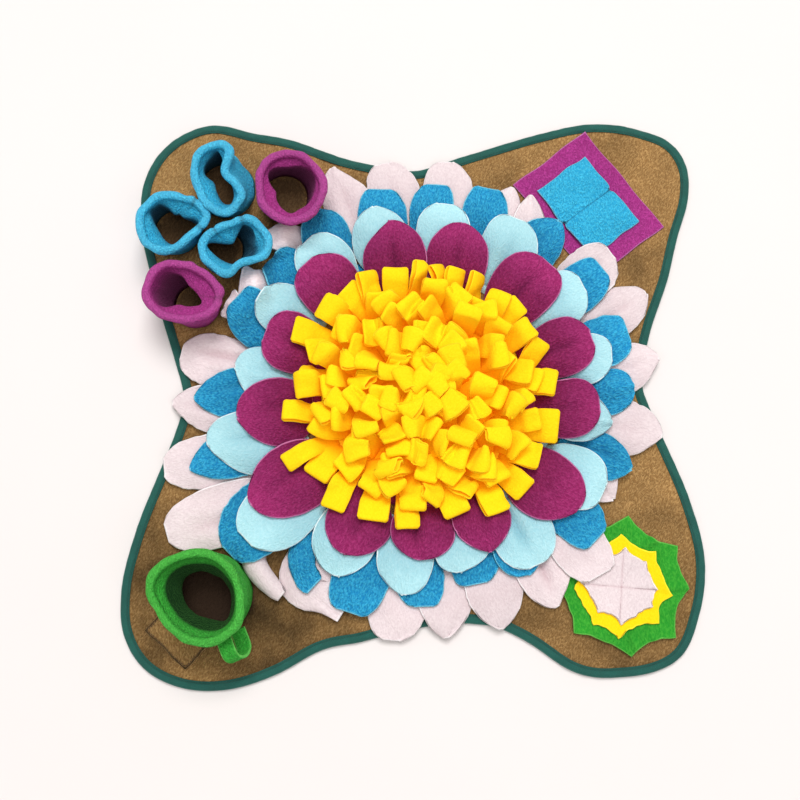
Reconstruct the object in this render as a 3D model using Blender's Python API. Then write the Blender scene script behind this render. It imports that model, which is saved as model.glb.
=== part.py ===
"""Snuffle mat: a four-lobed fleece mat with a bound edge, a layered flower, tube cups, panels and a star.

All tables are in millimetres and degrees; MM turns them into Blender's metres when a mesh is made.
Bearings turn anticlockwise from +X.  The mat lies on z = 0 with its middle at the origin.
"""

import math
import random

import bmesh
import bpy
import numpy as np
from mathutils import Vector
from mathutils.bvhtree import BVHTree

MM = 0.001

# ---------------------------------------------------------------- driving sizes
GAP = 0.35                 # air between touching pieces
LAY_GAP = 0.7              # air between a petal and what it lies on
FLEECE = 2.0               # one layer of fleece
MAT_THICK = 4.0            # the mat's two layers
BINDING_WIDTH = 10.0       # how far the binding reaches in over the mat
BINDING_THICK = 1.2
TONGUE_INSET = 1.8         # how far the mat's edge stays inside the binding's fold
EDGE_STATIONS = 96         # corners along the mat's outline

# The mat's outline: four lobes with a waist between each pair.
OUTLINE = (
    # bearing, reach
    (2, 250), (10, 258), (17, 276), (25, 312), (31.5, 347), (36, 382), (40, 404), (44.5, 412),
    (50, 400), (57, 374), (64, 337), (71, 305), (80, 276), (89, 258), (99, 267), (108, 290),
    (116, 329), (121, 353), (126, 386), (131, 399), (135.5, 401), (141, 391), (147, 366), (155, 324),
    (163, 291), (172, 265), (181, 252), (190, 265), (199, 296), (207, 336), (214, 375), (219, 397),
    (225.5, 407), (231, 398), (238, 369), (244, 331), (249, 296), (258, 270), (267, 254), (275, 248),
    (284, 253), (290.5, 269), (295, 296), (299, 335), (306, 371), (315, 395), (322, 382), (330, 357),
    (338, 321), (347, 284), (355, 261),
)

FLOWER_CENTRE = (10.5, -1.0)

# Width of a petal along its length, as a share of its full width, and how many corners cross it.
PETAL_ROWS = (
    # along, width, corners
    (0.00, 0.42, 3),
    (0.34, 0.92, 5),
    (0.70, 0.94, 5),
    (0.92, 0.46, 3),
    (1.00, 0.00, 1),
)

# The four rings of petals, from the mat upwards.
RINGS = (
    # name, colour, radius of the roots, bearing of the first root, rise at mid length, rise at tip, crown
    ("petals_pink", (0.88, 0.74, 0.77), 184.0, 6.2, 3.0, 3.5, 3.0),
    ("petals_blue", (0.03, 0.30, 0.62), 163.0, -1.9, 9.0, 8.0, 3.5),
    ("petals_sky", (0.42, 0.78, 0.86), 142.0, 14.6, 14.0, 12.0, 4.0),
    ("petals_plum", (0.28, 0.03, 0.20), 121.0, 19.6, 18.0, 17.0, 4.5),
)

# Each petal: the bearing and reach of its tip from the flower's centre, and its width.
PETALS = {
    "petals_pink": (
        (9, 260, 56), (25, 271, 54), (37, 263, 58), (54, 258, 40), (67, 256, 46), (84, 268, 54),
        (98, 269, 54), (111, 279, 56), (135, 246, 42), (146, 238, 46), (158, 238, 41), (170, 269, 58),
        (183, 280, 54), (196, 291, 58), (208.5, 312, 66), (234, 268, 44), (248, 256, 47), (262, 263, 60),
        (275, 259, 58), (288, 262, 62), (302, 266, 60), (318, 279, 66), (334, 240, 50), (350, 261, 62),
    ),
    "petals_blue": (
        (2, 227, 50), (17, 233, 56), (35, 242, 52), (52, 247, 54), (72, 245, 51), (87, 238, 48),
        (101, 236, 54), (120, 238, 54), (139, 226, 52), (160, 229, 54), (181, 248, 56), (198, 263, 56),
        (218, 266, 66), (237, 246, 46), (252, 245, 54), (269, 226, 50), (285, 210, 50), (300, 223, 56),
        (320, 240, 54), (340, 236, 54),
    ),
    "petals_sky": (
        (11, 207, 56), (34, 211, 62), (62, 222, 64), (84, 214, 60), (104, 216, 64), (128, 213, 62),
        (149, 206, 58), (172, 206, 60), (194, 238, 72), (220, 247, 78), (245, 215, 68), (264, 215, 60),
        (281, 194, 60), (303, 218, 66), (331, 218, 66), (351, 204, 54),
    ),
    "petals_plum": (
        (18, 191, 64), (47, 199, 72), (77, 194, 68), (101, 195, 70), (131, 192, 68), (159, 184, 66),
        (188, 201, 74), (213, 219, 76), (243, 192, 70), (267, 178, 68), (292, 183, 62), (323, 205, 74),
        (355, 188, 64),
    ),
}
STRIP_WIDTH = 9.0          # the sewn strip that each ring's roots share
STRIP_CORNERS = 48

# The yellow heart: loops of folded strip, sewn in rings on a disc.
LOOP_DISC = 111.0
DISC_CORNERS = 24
LOOP_WIDTH = 27.0
LOOP_BULGE = 4.2           # half of a loop's depth at its fold
LOOP_NARROW = 0.30         # how much narrower a loop may get to find its place
LOOP_TAPER = 0.8           # a loop's width at its root, as a share of its width at the fold
LOOP_SEED = 19
LOOP_TRIES = 600
LOOP_CLEAR = 0.35
LOOP_RINGS = (
    # radius, loops, lean, spread of the lean, length, twist either way, swing from straight outwards
    (9.0, 3, 14.0, 12.0, 49.0, 85.0, 180.0),
    (28.0, 9, 20.0, 16.0, 49.0, 85.0, 150.0),
    (47.0, 15, 22.0, 16.0, 50.0, 80.0, 90.0),
    (65.0, 21, 28.0, 16.0, 50.0, 65.0, 60.0),
    (82.5, 27, 38.0, 14.0, 51.0, 50.0, 40.0),
    (100.0, 33, 54.0, 9.0, 53.0, 22.0, 20.0),
)
# Loops stay above this roof, which covers the plum petals.
LOOP_ROOF = (
    # radius, height
    (0, 7.2), (110, 7.2), (120, 14), (140, 24), (165, 30),
)

# Tube cups: a round foot sewn to the mat, a soft rim of its own outline.
CUP_CORNERS = 16
CUP_WALL = 4.0
CUP_PROFILE = (
    # share of the height, share of the way from foot to rim outline, how far in from the outside
    (0.00, 0.00, 0.0),
    (0.45, 0.50, 0.0),
    (0.84, 0.92, 0.0),
    (0.93, 1.00, -1.0),
    (1.00, 1.00, 2.6),
    (0.93, 1.00, 6.4),
    (0.84, 0.92, CUP_WALL),
    (0.00, 0.00, CUP_WALL),
)
BLUE = (0.03, 0.30, 0.62)
PLUM = (0.35, 0.05, 0.28)
GREEN = (0.05, 0.36, 0.06)
CUPS = {
    # name: colour, foot x, foot y, foot radius, rim x, rim y, height, rim outline as (bearing, reach)
    "cup_blue_back": (BLUE, -211, 235, 33, -219, 228, 60, (
        (11, 19), (41, 24), (55, 37), (75, 42), (97, 38), (120, 32), (152, 24), (190, 19),
        (225, 20), (265, 33), (287, 43), (312, 44), (332, 41), (347, 31))),
    "cup_blue_left": (BLUE, -265, 186, 27, -257, 179, 58, (
        (10, 37), (44, 34), (92, 31), (137, 38), (159, 40), (193, 39), (217, 41), (239, 38),
        (272, 33), (310, 26), (345, 30))),
    "cup_blue_front": (BLUE, -213, 164, 25, -194, 154, 58, (
        (37, 38), (67, 35), (90, 27), (132, 25), (157, 30), (178, 35), (203, 36), (235, 34),
        (265, 35), (295, 25), (328, 34), (348, 40))),
    "cup_plum_back": (PLUM, -145, 226, 28, -134, 217, 60, (
        (6, 39), (33, 38), (67, 40), (98, 42), (124, 42), (153, 38), (183, 35), (208, 36),
        (241, 37), (271, 40), (304, 40), (331, 40))),
    "cup_plum_front": (PLUM, -240, 101, 26, -245, 101, 60, (
        (21, 36), (57, 31), (97, 33), (121, 38), (153, 40), (181, 42), (201, 39), (228, 35),
        (266, 33), (301, 36), (328, 41), (356, 41))),
    "cup_green": (GREEN, -212, -214, 41, -222, -218, 80, (
        (10, 47), (34, 45), (60, 45), (101, 43), (129, 45), (152, 47), (170, 48), (203, 42),
        (234, 42), (264, 46), (287, 51), (310, 53), (328, 53), (346, 49))),
}

# The green cup's handle: a strap that leaves the wall high up and comes back to it low down.
HANDLE_BEARING = -67.5
HANDLE_WIDTH = 20.0
HANDLE_THICK = 3.0
HANDLE_PATH = (
    # distance from the wall, height
    (0.0, 55.0), (14.0, 57.0), (25.0, 49.0), (29.0, 36.0), (26.0, 22.0), (15.0, 13.0), (0.0, 14.0),
)

# Flat pieces sewn to the mat.
PATCH_CENTRE = (-251.5, -261.0)
PATCH_SIZE = (60.0, 30.0)
PATCH_TURN = -42.5
PANEL_TURN = -52.7
PLUM_PANEL_CENTRE = (196.0, 216.0)
PLUM_PANEL_SIZE = (140.0, 103.0)
BLUE_PANEL_CENTRE = (195.0, 214.0)
BLUE_PANEL_SIZE = (96.0, 68.0)
BLUE_PANEL_ARCH = 6.0
STAR_CENTRE = (218.0, -207.0)
STARS = (
    # name, colour, lift of the rim, outline as (bearing, reach) with a point and a notch in turn
    ("star_green", (0.05, 0.33, 0.07), 2.5, (
        (-1, 72), (19, 66), (35, 75), (60, 62), (82, 76), (106, 64), (130, 74), (152, 62),
        (175, 71), (199, 59), (223, 69), (248, 59), (277, 72), (295, 63), (317, 76), (339, 62))),
    ("star_yellow", (0.95, 0.72, 0.03), 2.5, (
        (-9, 54), (22, 46), (45, 53), (64, 46), (88, 56), (112, 47), (135, 54), (158, 46),
        (182, 50), (207, 45), (232, 49), (249, 46), (265, 54), (289, 43), (316, 54), (335, 44))),
    ("star_pink", (0.88, 0.74, 0.77), 2.0, (
        (-3, 38), (23, 33), (45, 38), (64, 36), (82, 42), (105, 34), (128, 40), (150, 34),
        (173, 43), (198, 34), (226, 37), (250, 31), (268, 39), (295, 33), (328, 38), (342, 35))),
)

# The height map that lets each sheet lie on what is under it.
CELL = 2.0
REACH = 330.0
LAY_ROUNDS = 200


# ---------------------------------------------------------------- helpers
def clear_scene():
    """Remove whatever the scene holds."""
    for thing in list(bpy.data.objects):
        bpy.data.objects.remove(thing, do_unlink=True)


def fabric(name, colour):
    """A plain matt cloth material."""
    material = bpy.data.materials.new(name)
    material.use_nodes = True
    shader = material.node_tree.nodes["Principled BSDF"]
    shader.inputs["Base Color"].default_value = (*colour, 1.0)
    shader.inputs["Roughness"].default_value = 0.95
    shader.inputs["Metallic"].default_value = 0.0
    material.diffuse_color = (*colour, 1.0)
    return material


def solid(name, corners, faces, colour, split=True):
    """Make one closed object from corners in millimetres; split turns its faces into triangles."""
    mesh = bpy.data.meshes.new(name)
    mesh.from_pydata([Vector(corner) * MM for corner in corners], [], faces)
    work = bmesh.new()
    work.from_mesh(mesh)
    bmesh.ops.recalc_face_normals(work, faces=work.faces)
    if split:
        bmesh.ops.triangulate(work, faces=work.faces)
    work.to_mesh(mesh)
    work.free()
    thing = bpy.data.objects.new(name, mesh)
    thing.data.materials.append(fabric(name + "_cloth", colour))
    bpy.context.scene.collection.objects.link(thing)
    return thing


def polar(centre, bearing, reach):
    """The point at a bearing and reach from a centre."""
    angle = math.radians(bearing)
    return (centre[0] + reach * math.cos(angle), centre[1] + reach * math.sin(angle))


def closed_curve(table, bearings):
    """Reach at each bearing, along a smooth closed curve through the table's rows."""
    knots = np.array(table, float)
    turn = np.concatenate((knots[-2:, 0] - 360.0, knots[:, 0], knots[:3, 0] + 360.0))
    reach = np.concatenate((knots[-2:, 1], knots[:, 1], knots[:3, 1]))
    slope = np.gradient(reach, turn)
    at = (np.asarray(bearings, float) - knots[0, 0]) % 360.0 + knots[0, 0]
    left = np.clip(np.searchsorted(turn, at, side="right") - 1, 0, len(turn) - 2)
    span = turn[left + 1] - turn[left]
    t = (at - turn[left]) / span
    start = (1 + 2 * t) * (1 - t) ** 2 * reach[left] + t * (1 - t) ** 2 * span * slope[left]
    end = t ** 2 * (3 - 2 * t) * reach[left + 1] + t ** 2 * (t - 1) * span * slope[left + 1]
    return start + end


def inward(points):
    """The unit normal that points inside an anticlockwise outline, at each of its points."""
    along = np.roll(points, -1, axis=0) - np.roll(points, 1, axis=0)
    along /= np.linalg.norm(along, axis=1)[:, None]
    return np.stack((-along[:, 1], along[:, 0]), axis=1)


def mat_outline():
    """The mat's outline as evenly spaced corners, centred on the origin."""
    bearings = np.arange(0.0, 360.0, 0.25)
    reach = closed_curve(OUTLINE, bearings)
    turn = np.radians(bearings)
    fine = np.stack((reach * np.cos(turn), reach * np.sin(turn)), axis=1)
    steps = np.linalg.norm(np.roll(fine, -1, axis=0) - fine, axis=1)
    run = np.concatenate(([0.0], np.cumsum(steps)))
    loop = np.vstack((fine, fine[:1]))
    at = np.arange(EDGE_STATIONS) * run[-1] / EDGE_STATIONS
    points = np.stack((np.interp(at, run, loop[:, 0]), np.interp(at, run, loop[:, 1])), axis=1)
    return points - (points.min(axis=0) + points.max(axis=0)) / 2


def tube_faces(rows, count, closed_rows=True):
    """Quads between neighbouring rows of a ring mesh with count corners in each row."""
    faces = []
    last = rows if closed_rows else rows - 1
    for row in range(last):
        for k in range(count):
            a = row * count + k
            b = row * count + (k + 1) % count
            c = (row + 1) % rows * count + (k + 1) % count
            d = (row + 1) % rows * count + k
            faces.append((a, b, c, d))
    return faces


def band(count):
    """Triangles of the flat band between two closed rows of count corners each."""
    triangles = []
    for k in range(count):
        after = (k + 1) % count
        triangles.append((k, after, count + k))
        triangles.append((after, count + after, count + k))
    return triangles


# ---------------------------------------------------------------- the height map
class Layers:
    """The height that is already taken, over a square grid."""

    def __init__(self):
        side = int(2 * REACH / CELL) + 1
        self.axis = -REACH + CELL * np.arange(side)
        self.taken = np.zeros((side, side))

    def height(self, x, y):
        """The height already taken at a point."""
        return float(self.taken[int(round((x + REACH) / CELL)), int(round((y + REACH) / CELL))])

    def cells(self, a, b, c):
        """Grid cells under a triangle, with their barycentric weights."""
        xs = (a[0], b[0], c[0])
        ys = (a[1], b[1], c[1])
        i0 = max(int((min(xs) + REACH) / CELL), 0)
        i1 = min(int((max(xs) + REACH) / CELL) + 2, len(self.axis))
        j0 = max(int((min(ys) + REACH) / CELL), 0)
        j1 = min(int((max(ys) + REACH) / CELL) + 2, len(self.axis))
        x, y = np.meshgrid(self.axis[i0:i1], self.axis[j0:j1], indexing="ij")
        area = (b[1] - c[1]) * (a[0] - c[0]) + (c[0] - b[0]) * (a[1] - c[1])
        if abs(area) < 1e-6:
            return None
        wa = ((b[1] - c[1]) * (x - c[0]) + (c[0] - b[0]) * (y - c[1])) / area
        wb = ((c[1] - a[1]) * (x - c[0]) + (a[0] - c[0]) * (y - c[1])) / area
        wc = 1.0 - wa - wb
        inside = (wa >= -1e-6) & (wb >= -1e-6) & (wc >= -1e-6)
        i, j = np.nonzero(inside)
        if len(i) == 0:
            return None
        return i + i0, j + j0, np.stack((wa[i, j], wb[i, j], wc[i, j]), axis=1)

    def stamp(self, corners, triangles):
        """Take the space under a piece's upper face, spread by one cell."""
        fresh = np.zeros_like(self.taken)
        for triangle in triangles:
            a, b, c = (corners[k] for k in triangle)
            found = self.cells(a, b, c)
            if found is None:
                continue
            i, j, weights = found
            height = weights @ np.array((a[2], b[2], c[2]))
            np.maximum.at(fresh, (i, j), height)
        spread = fresh.copy()
        for di in (-1, 0, 1):
            for dj in (-1, 0, 1):
                spread = np.maximum(spread, np.roll(fresh, (di, dj), axis=(0, 1)))
        self.taken = np.maximum(self.taken, spread)

    def lay(self, corners, triangles, fixed):
        """Raise a sheet's lower face, but for its fixed corners, until it clears what is taken."""
        points = np.array(corners, float)
        spans = [(triangle, self.cells(*(points[k] for k in triangle))) for triangle in triangles]
        for _ in range(LAY_ROUNDS):
            worst = 0.0
            for triangle, found in spans:
                if found is None:
                    continue
                i, j, weights = found
                free = np.array([0.0 if k in fixed else 1.0 for k in triangle])
                lack = self.taken[i, j] + LAY_GAP - weights @ points[list(triangle), 2]
                lack[(weights @ free) < 0.15] = 0.0
                at = int(np.argmax(lack))
                if lack[at] < 0.01:
                    continue
                worst = max(worst, lack[at])
                share = weights[at] * free
                points[list(triangle), 2] += lack[at] * share / float(share @ share)
            if worst < 0.02:
                break
        return points


# ---------------------------------------------------------------- the mat and its binding
def add_mat(layers):
    """The mat and the folded strip that binds its edge."""
    outline = mat_outline()
    normal = inward(outline)
    count = len(outline)
    tongue = BINDING_THICK + GAP
    step = BINDING_WIDTH + 1.5
    top = MAT_THICK

    def ring(inset, height):
        points = outline + normal * inset
        return [(x, y, height) for x, y in points]

    rows = [ring(step, 0.0), ring(step, tongue), ring(TONGUE_INSET, tongue), ring(TONGUE_INSET, top)]
    corners = [corner for row in rows for corner in row]
    faces = tube_faces(len(rows), count, closed_rows=False)
    corners += [(0.0, 0.0, 0.0), (0.0, 0.0, top)]
    for k in range(count):
        after = (k + 1) % count
        faces.append((4 * count, after, k))
        faces.append((4 * count + 1, 3 * count + k, 3 * count + after))
    solid("base_mat", corners, faces, (0.30, 0.16, 0.07))

    lid = top + GAP
    fold = TONGUE_INSET - GAP
    profile = ((0.5, 0.0), (0.0, lid / 2), (0.5, lid + BINDING_THICK), (BINDING_WIDTH, lid + BINDING_THICK),
               (BINDING_WIDTH, lid), (fold, lid), (fold, BINDING_THICK), (BINDING_WIDTH, BINDING_THICK),
               (BINDING_WIDTH, 0.0))
    corners = [corner for inset, height in profile for corner in ring(inset, height)]
    solid("edge_binding", corners, tube_faces(len(profile), count), (0.01, 0.16, 0.13))

    layers.stamp(ring(0.0, lid + BINDING_THICK) + ring(BINDING_WIDTH, lid + BINDING_THICK), band(count))
    fan = [(k, (k + 1) % count, count) for k in range(count)]
    layers.stamp(ring(TONGUE_INSET, top) + [(0.0, 0.0, top)], fan)
    return top


# ---------------------------------------------------------------- flat sewn pieces
def turned(centre, angle, x, y):
    """A point of a piece's own plane, turned and moved to its place."""
    c = math.cos(math.radians(angle))
    s = math.sin(math.radians(angle))
    return centre[0] + x * c - y * s, centre[1] + x * s + y * c


def add_sheet(name, colour, layers, centre, size, angle, columns, rows, rise):
    """A rectangular sheet laid on what is under it; rise(u, v) lifts it between its seams."""
    across = columns + 1
    lower = []
    for j in range(rows + 1):
        for i in range(columns + 1):
            u = 2.0 * i / columns - 1.0
            v = 2.0 * j / rows - 1.0
            x, y = turned(centre, angle, u * size[0] / 2, v * size[1] / 2)
            lower.append((x, y, rise(u, v)))
    triangles = []
    for j in range(rows):
        for i in range(columns):
            a = j * across + i
            triangles.append((a, a + 1, a + across + 1))
            triangles.append((a, a + across + 1, a + across))
    lower = layers.lay(lower, triangles, fixed=())
    rim = [i for i in range(columns)]
    rim += [j * across + columns for j in range(rows)]
    rim += [rows * across + i for i in range(columns, 0, -1)]
    rim += [j * across for j in range(rows, 0, -1)]
    close_sheet(name, colour, layers, lower, triangles, rim)


def close_sheet(name, colour, layers, lower, triangles, rim):
    """Give a laid sheet its thickness, make it an object and take its space."""
    count = len(lower)
    upper = lower + np.array((0.0, 0.0, FLEECE))
    faces = [tuple(reversed(triangle)) for triangle in triangles]
    faces += [tuple(k + count for k in triangle) for triangle in triangles]
    for k, corner in enumerate(rim):
        after = rim[(k + 1) % len(rim)]
        faces.append((corner, after, after + count, corner + count))
    solid(name, [tuple(point) for point in np.vstack((lower, upper))], faces, colour)
    layers.stamp(upper, triangles)


def add_star(layers, name, colour, lift, outline):
    """One layer of the star: soft points with hollow sides, its rim a little raised."""
    count = len(outline)
    lower = [(*STAR_CENTRE, 0.0)]
    for share, height in ((0.55, 0.0), (1.0, lift)):
        for bearing, reach in outline:
            x, y = polar(STAR_CENTRE, bearing, share * reach)
            lower.append((x, y, height + layers.height(x, y)))
    triangles = [(0, 1 + k, 1 + (k + 1) % count) for k in range(count)]
    for k in range(count):
        a, b = 1 + k, 1 + (k + 1) % count
        triangles.append((a, a + count, b + count))
        triangles.append((a, b + count, b))
    lower = layers.lay(lower, triangles, fixed=())
    rim = [1 + count + k for k in range(count)]
    close_sheet(name, colour, layers, lower, triangles, rim)


# ---------------------------------------------------------------- petals
def petal_corners(root_bearing, root_radius, tip, width, rises, crown, floor):
    """A petal's lower face, row by row from root to tip; its root row lies on the ring's radius."""
    root = Vector(polar(FLOWER_CENTRE, root_bearing, root_radius))
    end = Vector(polar(FLOWER_CENTRE, *tip))
    along = end - root
    side = Vector((-along.y, along.x)).normalized()
    corners = []
    rows = []
    for share, part, across in PETAL_ROWS:
        row = []
        for k in range(across):
            v = 0.0 if across == 1 else 2.0 * k / (across - 1) - 1.0
            if share == 0.0:
                half = math.degrees(0.5 * width * part / root_radius)
                x, y = polar(FLOWER_CENTRE, root_bearing + v * half, root_radius)
                z = floor
            else:
                spot = root + along * share + side * (v * 0.5 * width * part)
                x, y = spot.x, spot.y
                lift = np.interp(share, (0.0, 0.6, 1.0), (0.0, rises[0], rises[1]))
                z = floor + lift + crown * (1.0 - v * v) * math.sin(math.pi * min(share, 0.95))
            row.append(len(corners))
            corners.append((x, y, z))
        rows.append(row)
    return corners, rows


def row_triangles(rows):
    """Triangles between a petal's rows of one, three or five corners."""
    triangles = []
    for here, there in zip(rows, rows[1:]):
        i = j = 0
        while i < len(here) - 1 or j < len(there) - 1:
            share_i = (i + 1) / max(len(here) - 1, 1)
            share_j = (j + 1) / max(len(there) - 1, 1)
            step_here = i < len(here) - 1 and (j == len(there) - 1 or share_i < share_j - 1e-9)
            if step_here:
                triangles.append((here[i], there[j], here[i + 1]))
                i += 1
            else:
                triangles.append((here[i], there[j], there[j + 1]))
                j += 1
    return triangles


def add_ring(layers, floor, name, colour, radius, first, mid_rise, tip_rise, crown):
    """One ring of petals: each stands free but for its root, which is part of the sewn strip."""
    petals = PETALS[name]
    corners = []
    faces = []
    roots = []
    below = floor + GAP
    for k, (bearing, reach, width) in enumerate(petals):
        root_bearing = first + 360.0 * k / len(petals)
        lower, rows = petal_corners(
            root_bearing, radius, (bearing, reach), width, (mid_rise, tip_rise), crown, below)
        triangles = row_triangles(rows)
        lower = layers.lay(lower, triangles, fixed=rows[0])
        count = len(lower)
        upper = lower + np.array((0.0, 0.0, FLEECE))
        start = len(corners)
        corners += [tuple(point) for point in lower]
        corners += [tuple(point) for point in upper]
        faces += [tuple(start + i for i in reversed(triangle)) for triangle in triangles]
        faces += [tuple(start + count + i for i in triangle) for triangle in triangles]
        edge = [row[0] for row in rows] + [row[-1] for row in reversed(rows[:-1])]
        for a, b in zip(edge, edge[1:]):
            faces.append((start + a, start + b, start + count + b, start + count + a))
        roots.append([start + i for i in rows[0]] + [start + count + i for i in rows[0]])
        layers.stamp(upper, triangles)
    add_strip(corners, faces, roots, radius)
    solid(name, corners, faces, colour)
    circles = []
    for reach in (radius, radius - STRIP_WIDTH):
        for k in range(STRIP_CORNERS):
            circles.append((*polar(FLOWER_CENTRE, 360.0 * k / STRIP_CORNERS, reach), below + FLEECE))
    layers.stamp(circles, band(STRIP_CORNERS))


def add_strip(corners, faces, roots, radius):
    """The strip inside a ring's roots, joined to every root."""
    inner = []
    for root in roots:
        three = []
        for corner in root:
            x = corners[corner][0] - FLOWER_CENTRE[0]
            y = corners[corner][1] - FLOWER_CENTRE[1]
            share = (radius - STRIP_WIDTH) / math.hypot(x, y)
            three.append(len(corners))
            corners.append((FLOWER_CENTRE[0] + x * share, FLOWER_CENTRE[1] + y * share, corners[corner][2]))
        inner.append(three)
    for k, root in enumerate(roots):
        following = roots[(k + 1) % len(roots)]
        inside = inner[k]
        inside_following = inner[(k + 1) % len(roots)]
        # lower and upper corners of the strip from this root to the next one
        low_out = root[:3] + [following[0]]
        high_out = root[3:] + [following[3]]
        low_in = inside[:3] + [inside_following[0]]
        high_in = inside[3:] + [inside_following[3]]
        for i in range(3):
            faces.append((low_out[i], low_out[i + 1], low_in[i + 1], low_in[i]))
            faces.append((high_out[i], high_in[i], high_in[i + 1], high_out[i + 1]))
            faces.append((low_in[i], low_in[i + 1], high_in[i + 1], high_in[i]))
        faces.append((low_out[2], high_out[2], high_out[3], low_out[3]))


# ---------------------------------------------------------------- the yellow loops
def loop_section(length, bulge, wall):
    """Outer and inner outline of a folded strip, seen on its edge: (depth, height) points."""
    outer = ((-wall, 0.0), (wall, 0.0), (bulge, 0.78 * length), (0.0, length), (-bulge, 0.78 * length))
    inner = ((0.0, 0.22 * length), (bulge - wall, 0.78 * length), (0.0, length - 1.4 * wall),
             (wall - bulge, 0.78 * length))
    return outer, inner


def loop_mesh(spot, length, width, lean, lean_bearing, twist, grow=0.0, root_depth=1.6):
    """Corners and faces of one loop; grow thickens it to test its clearance."""
    outer, inner = loop_section(length, LOOP_BULGE + grow, FLEECE + grow)
    axis = Vector((math.sin(lean) * math.cos(lean_bearing), math.sin(lean) * math.sin(lean_bearing),
                   math.cos(lean)))
    flat = Vector((-math.sin(lean_bearing), math.cos(lean_bearing), 0.0))
    wide = flat * math.cos(twist) + axis.cross(flat) * math.sin(twist)
    deep = wide.cross(axis)
    foot = Vector(spot)
    corners = []
    for side in (-1.0, 1.0):
        for depth, height in outer + inner:
            half = (0.5 * width + grow) * (LOOP_TAPER + (1.0 - LOOP_TAPER) * height / length)
            corners.append(foot + wide * (side * half) + deep * depth + axis * height)
        # slide the two root corners along their edges to one level inside the disc
        start = len(corners) - len(outer) - len(inner)
        for root, above in ((start, start + 4), (start + 1, start + 2)):
            edge = corners[above] - corners[root]
            corners[root] = corners[root] + edge * ((foot.z - root_depth - corners[root].z) / edge.z)
    n_out, n_in = len(outer), len(inner)
    n = n_out + n_in
    faces = []
    for k in range(n_out):
        a, b = k, (k + 1) % n_out
        faces.append((a, b, b + n, a + n))
    for k in range(n_in):
        a, b = n_out + k, n_out + (k + 1) % n_in
        faces.append((b, a, a + n, b + n))
    caps = ((0, 1, 5), (1, 6, 5), (1, 2, 6), (2, 3, 7), (2, 7, 6), (3, 4, 7), (4, 8, 7), (4, 0, 8), (0, 5, 8))
    faces += [tuple(reversed(cap)) for cap in caps]
    faces += [tuple(k + n for k in cap) for cap in caps]
    return corners, faces


def plan_loops(top):
    """Find a place, lean and twist for each loop so that no two of them meet."""
    draw = random.Random(LOOP_SEED)
    placed = []
    corners = []
    faces = []
    tree = None
    for ring, (radius, count, lean, spread, length, turn, swing) in enumerate(LOOP_RINGS):
        for k in range(count):
            for attempt in range(LOOP_TRIES):
                bearing = 360.0 * (k + 0.5 * (ring % 2)) / count + draw.uniform(-4.0, 4.0)
                foot = (*polar(FLOWER_CENTRE, bearing, radius + draw.uniform(-4.0, 4.0)), top)
                tip = math.radians(lean + draw.uniform(-spread, spread))
                toward = math.radians(bearing + draw.uniform(-swing, swing))
                twist = math.radians(draw.uniform(-turn, turn))
                width = LOOP_WIDTH * (1.0 - LOOP_NARROW * attempt / LOOP_TRIES)
                loop = (foot, length, width, tip, toward, twist)
                test, test_faces = loop_mesh(*loop, LOOP_CLEAR, 0.0)
                if not above_roof(test, top):
                    continue
                if tree and BVHTree.FromPolygons(test, test_faces).overlap(tree):
                    continue
                placed.append(loop)
                body, body_faces = loop_mesh(*loop, 0.0, 0.0)
                faces += [tuple(i + len(corners) for i in face) for face in body_faces]
                corners += body
                tree = BVHTree.FromPolygons(corners, faces)
                break
    return placed


def above_roof(points, top):
    """Whether a loop's corners, but for its root, all stay above the petals and the disc."""
    radii = [row[0] for row in LOOP_ROOF]
    heights = [row[1] for row in LOOP_ROOF]
    for point in points:
        reach = math.hypot(point.x - FLOWER_CENTRE[0], point.y - FLOWER_CENTRE[1])
        root = point.z <= top + 1e-6
        if root and reach > LOOP_DISC - 3.0:
            return False
        if not root and point.z < np.interp(reach, radii, heights):
            return False
    return True


def add_loops(floor):
    """The disc with its loops joined on at their roots."""
    low = floor + GAP
    top = low + FLEECE
    colour = (0.93, 0.62, 0.01)
    circle = [polar(FLOWER_CENTRE, 360.0 * k / DISC_CORNERS, LOOP_DISC) for k in range(DISC_CORNERS)]
    corners = [(x, y, low) for x, y in circle] + [(x, y, top) for x, y in circle]
    faces = tube_faces(2, DISC_CORNERS, closed_rows=False)
    faces += [tuple(reversed(range(DISC_CORNERS))), tuple(range(DISC_CORNERS, 2 * DISC_CORNERS))]
    disc = solid("loop_centre", corners, faces, colour, split=False)
    corners = []
    faces = []
    loops = plan_loops(top)
    for loop in loops:
        body, body_faces = loop_mesh(*loop)
        faces += [tuple(i + len(corners) for i in face) for face in body_faces]
        corners += body
    cluster = solid("loop_cluster", corners, faces, colour, split=False)
    union = disc.modifiers.new("loops", "BOOLEAN")
    union.operation = "UNION"
    union.solver = "EXACT"
    union.object = cluster
    disc.modifiers.new("triangles", "TRIANGULATE")
    cluster.hide_render = True
    cluster.display_type = "WIRE"
    return len(loops)


# ---------------------------------------------------------------- cups
def cup_ring(cup, height_share, blend, inset):
    """One ring of a cup's corners between its round foot and its own rim outline."""
    _, foot_x, foot_y, foot_r, rim_x, rim_y, _, rim = cup
    bearings = 360.0 * (np.arange(CUP_CORNERS) + 0.5) / CUP_CORNERS
    turn = np.radians(bearings)
    way = np.stack((np.cos(turn), np.sin(turn)), axis=1)
    foot = np.array((foot_x, foot_y)) + way * foot_r
    top = np.array((rim_x, rim_y)) + way * closed_curve(rim, bearings)[:, None]
    ring = foot * (1.0 - blend) + top * blend
    return ring + inward(ring) * inset


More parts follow.
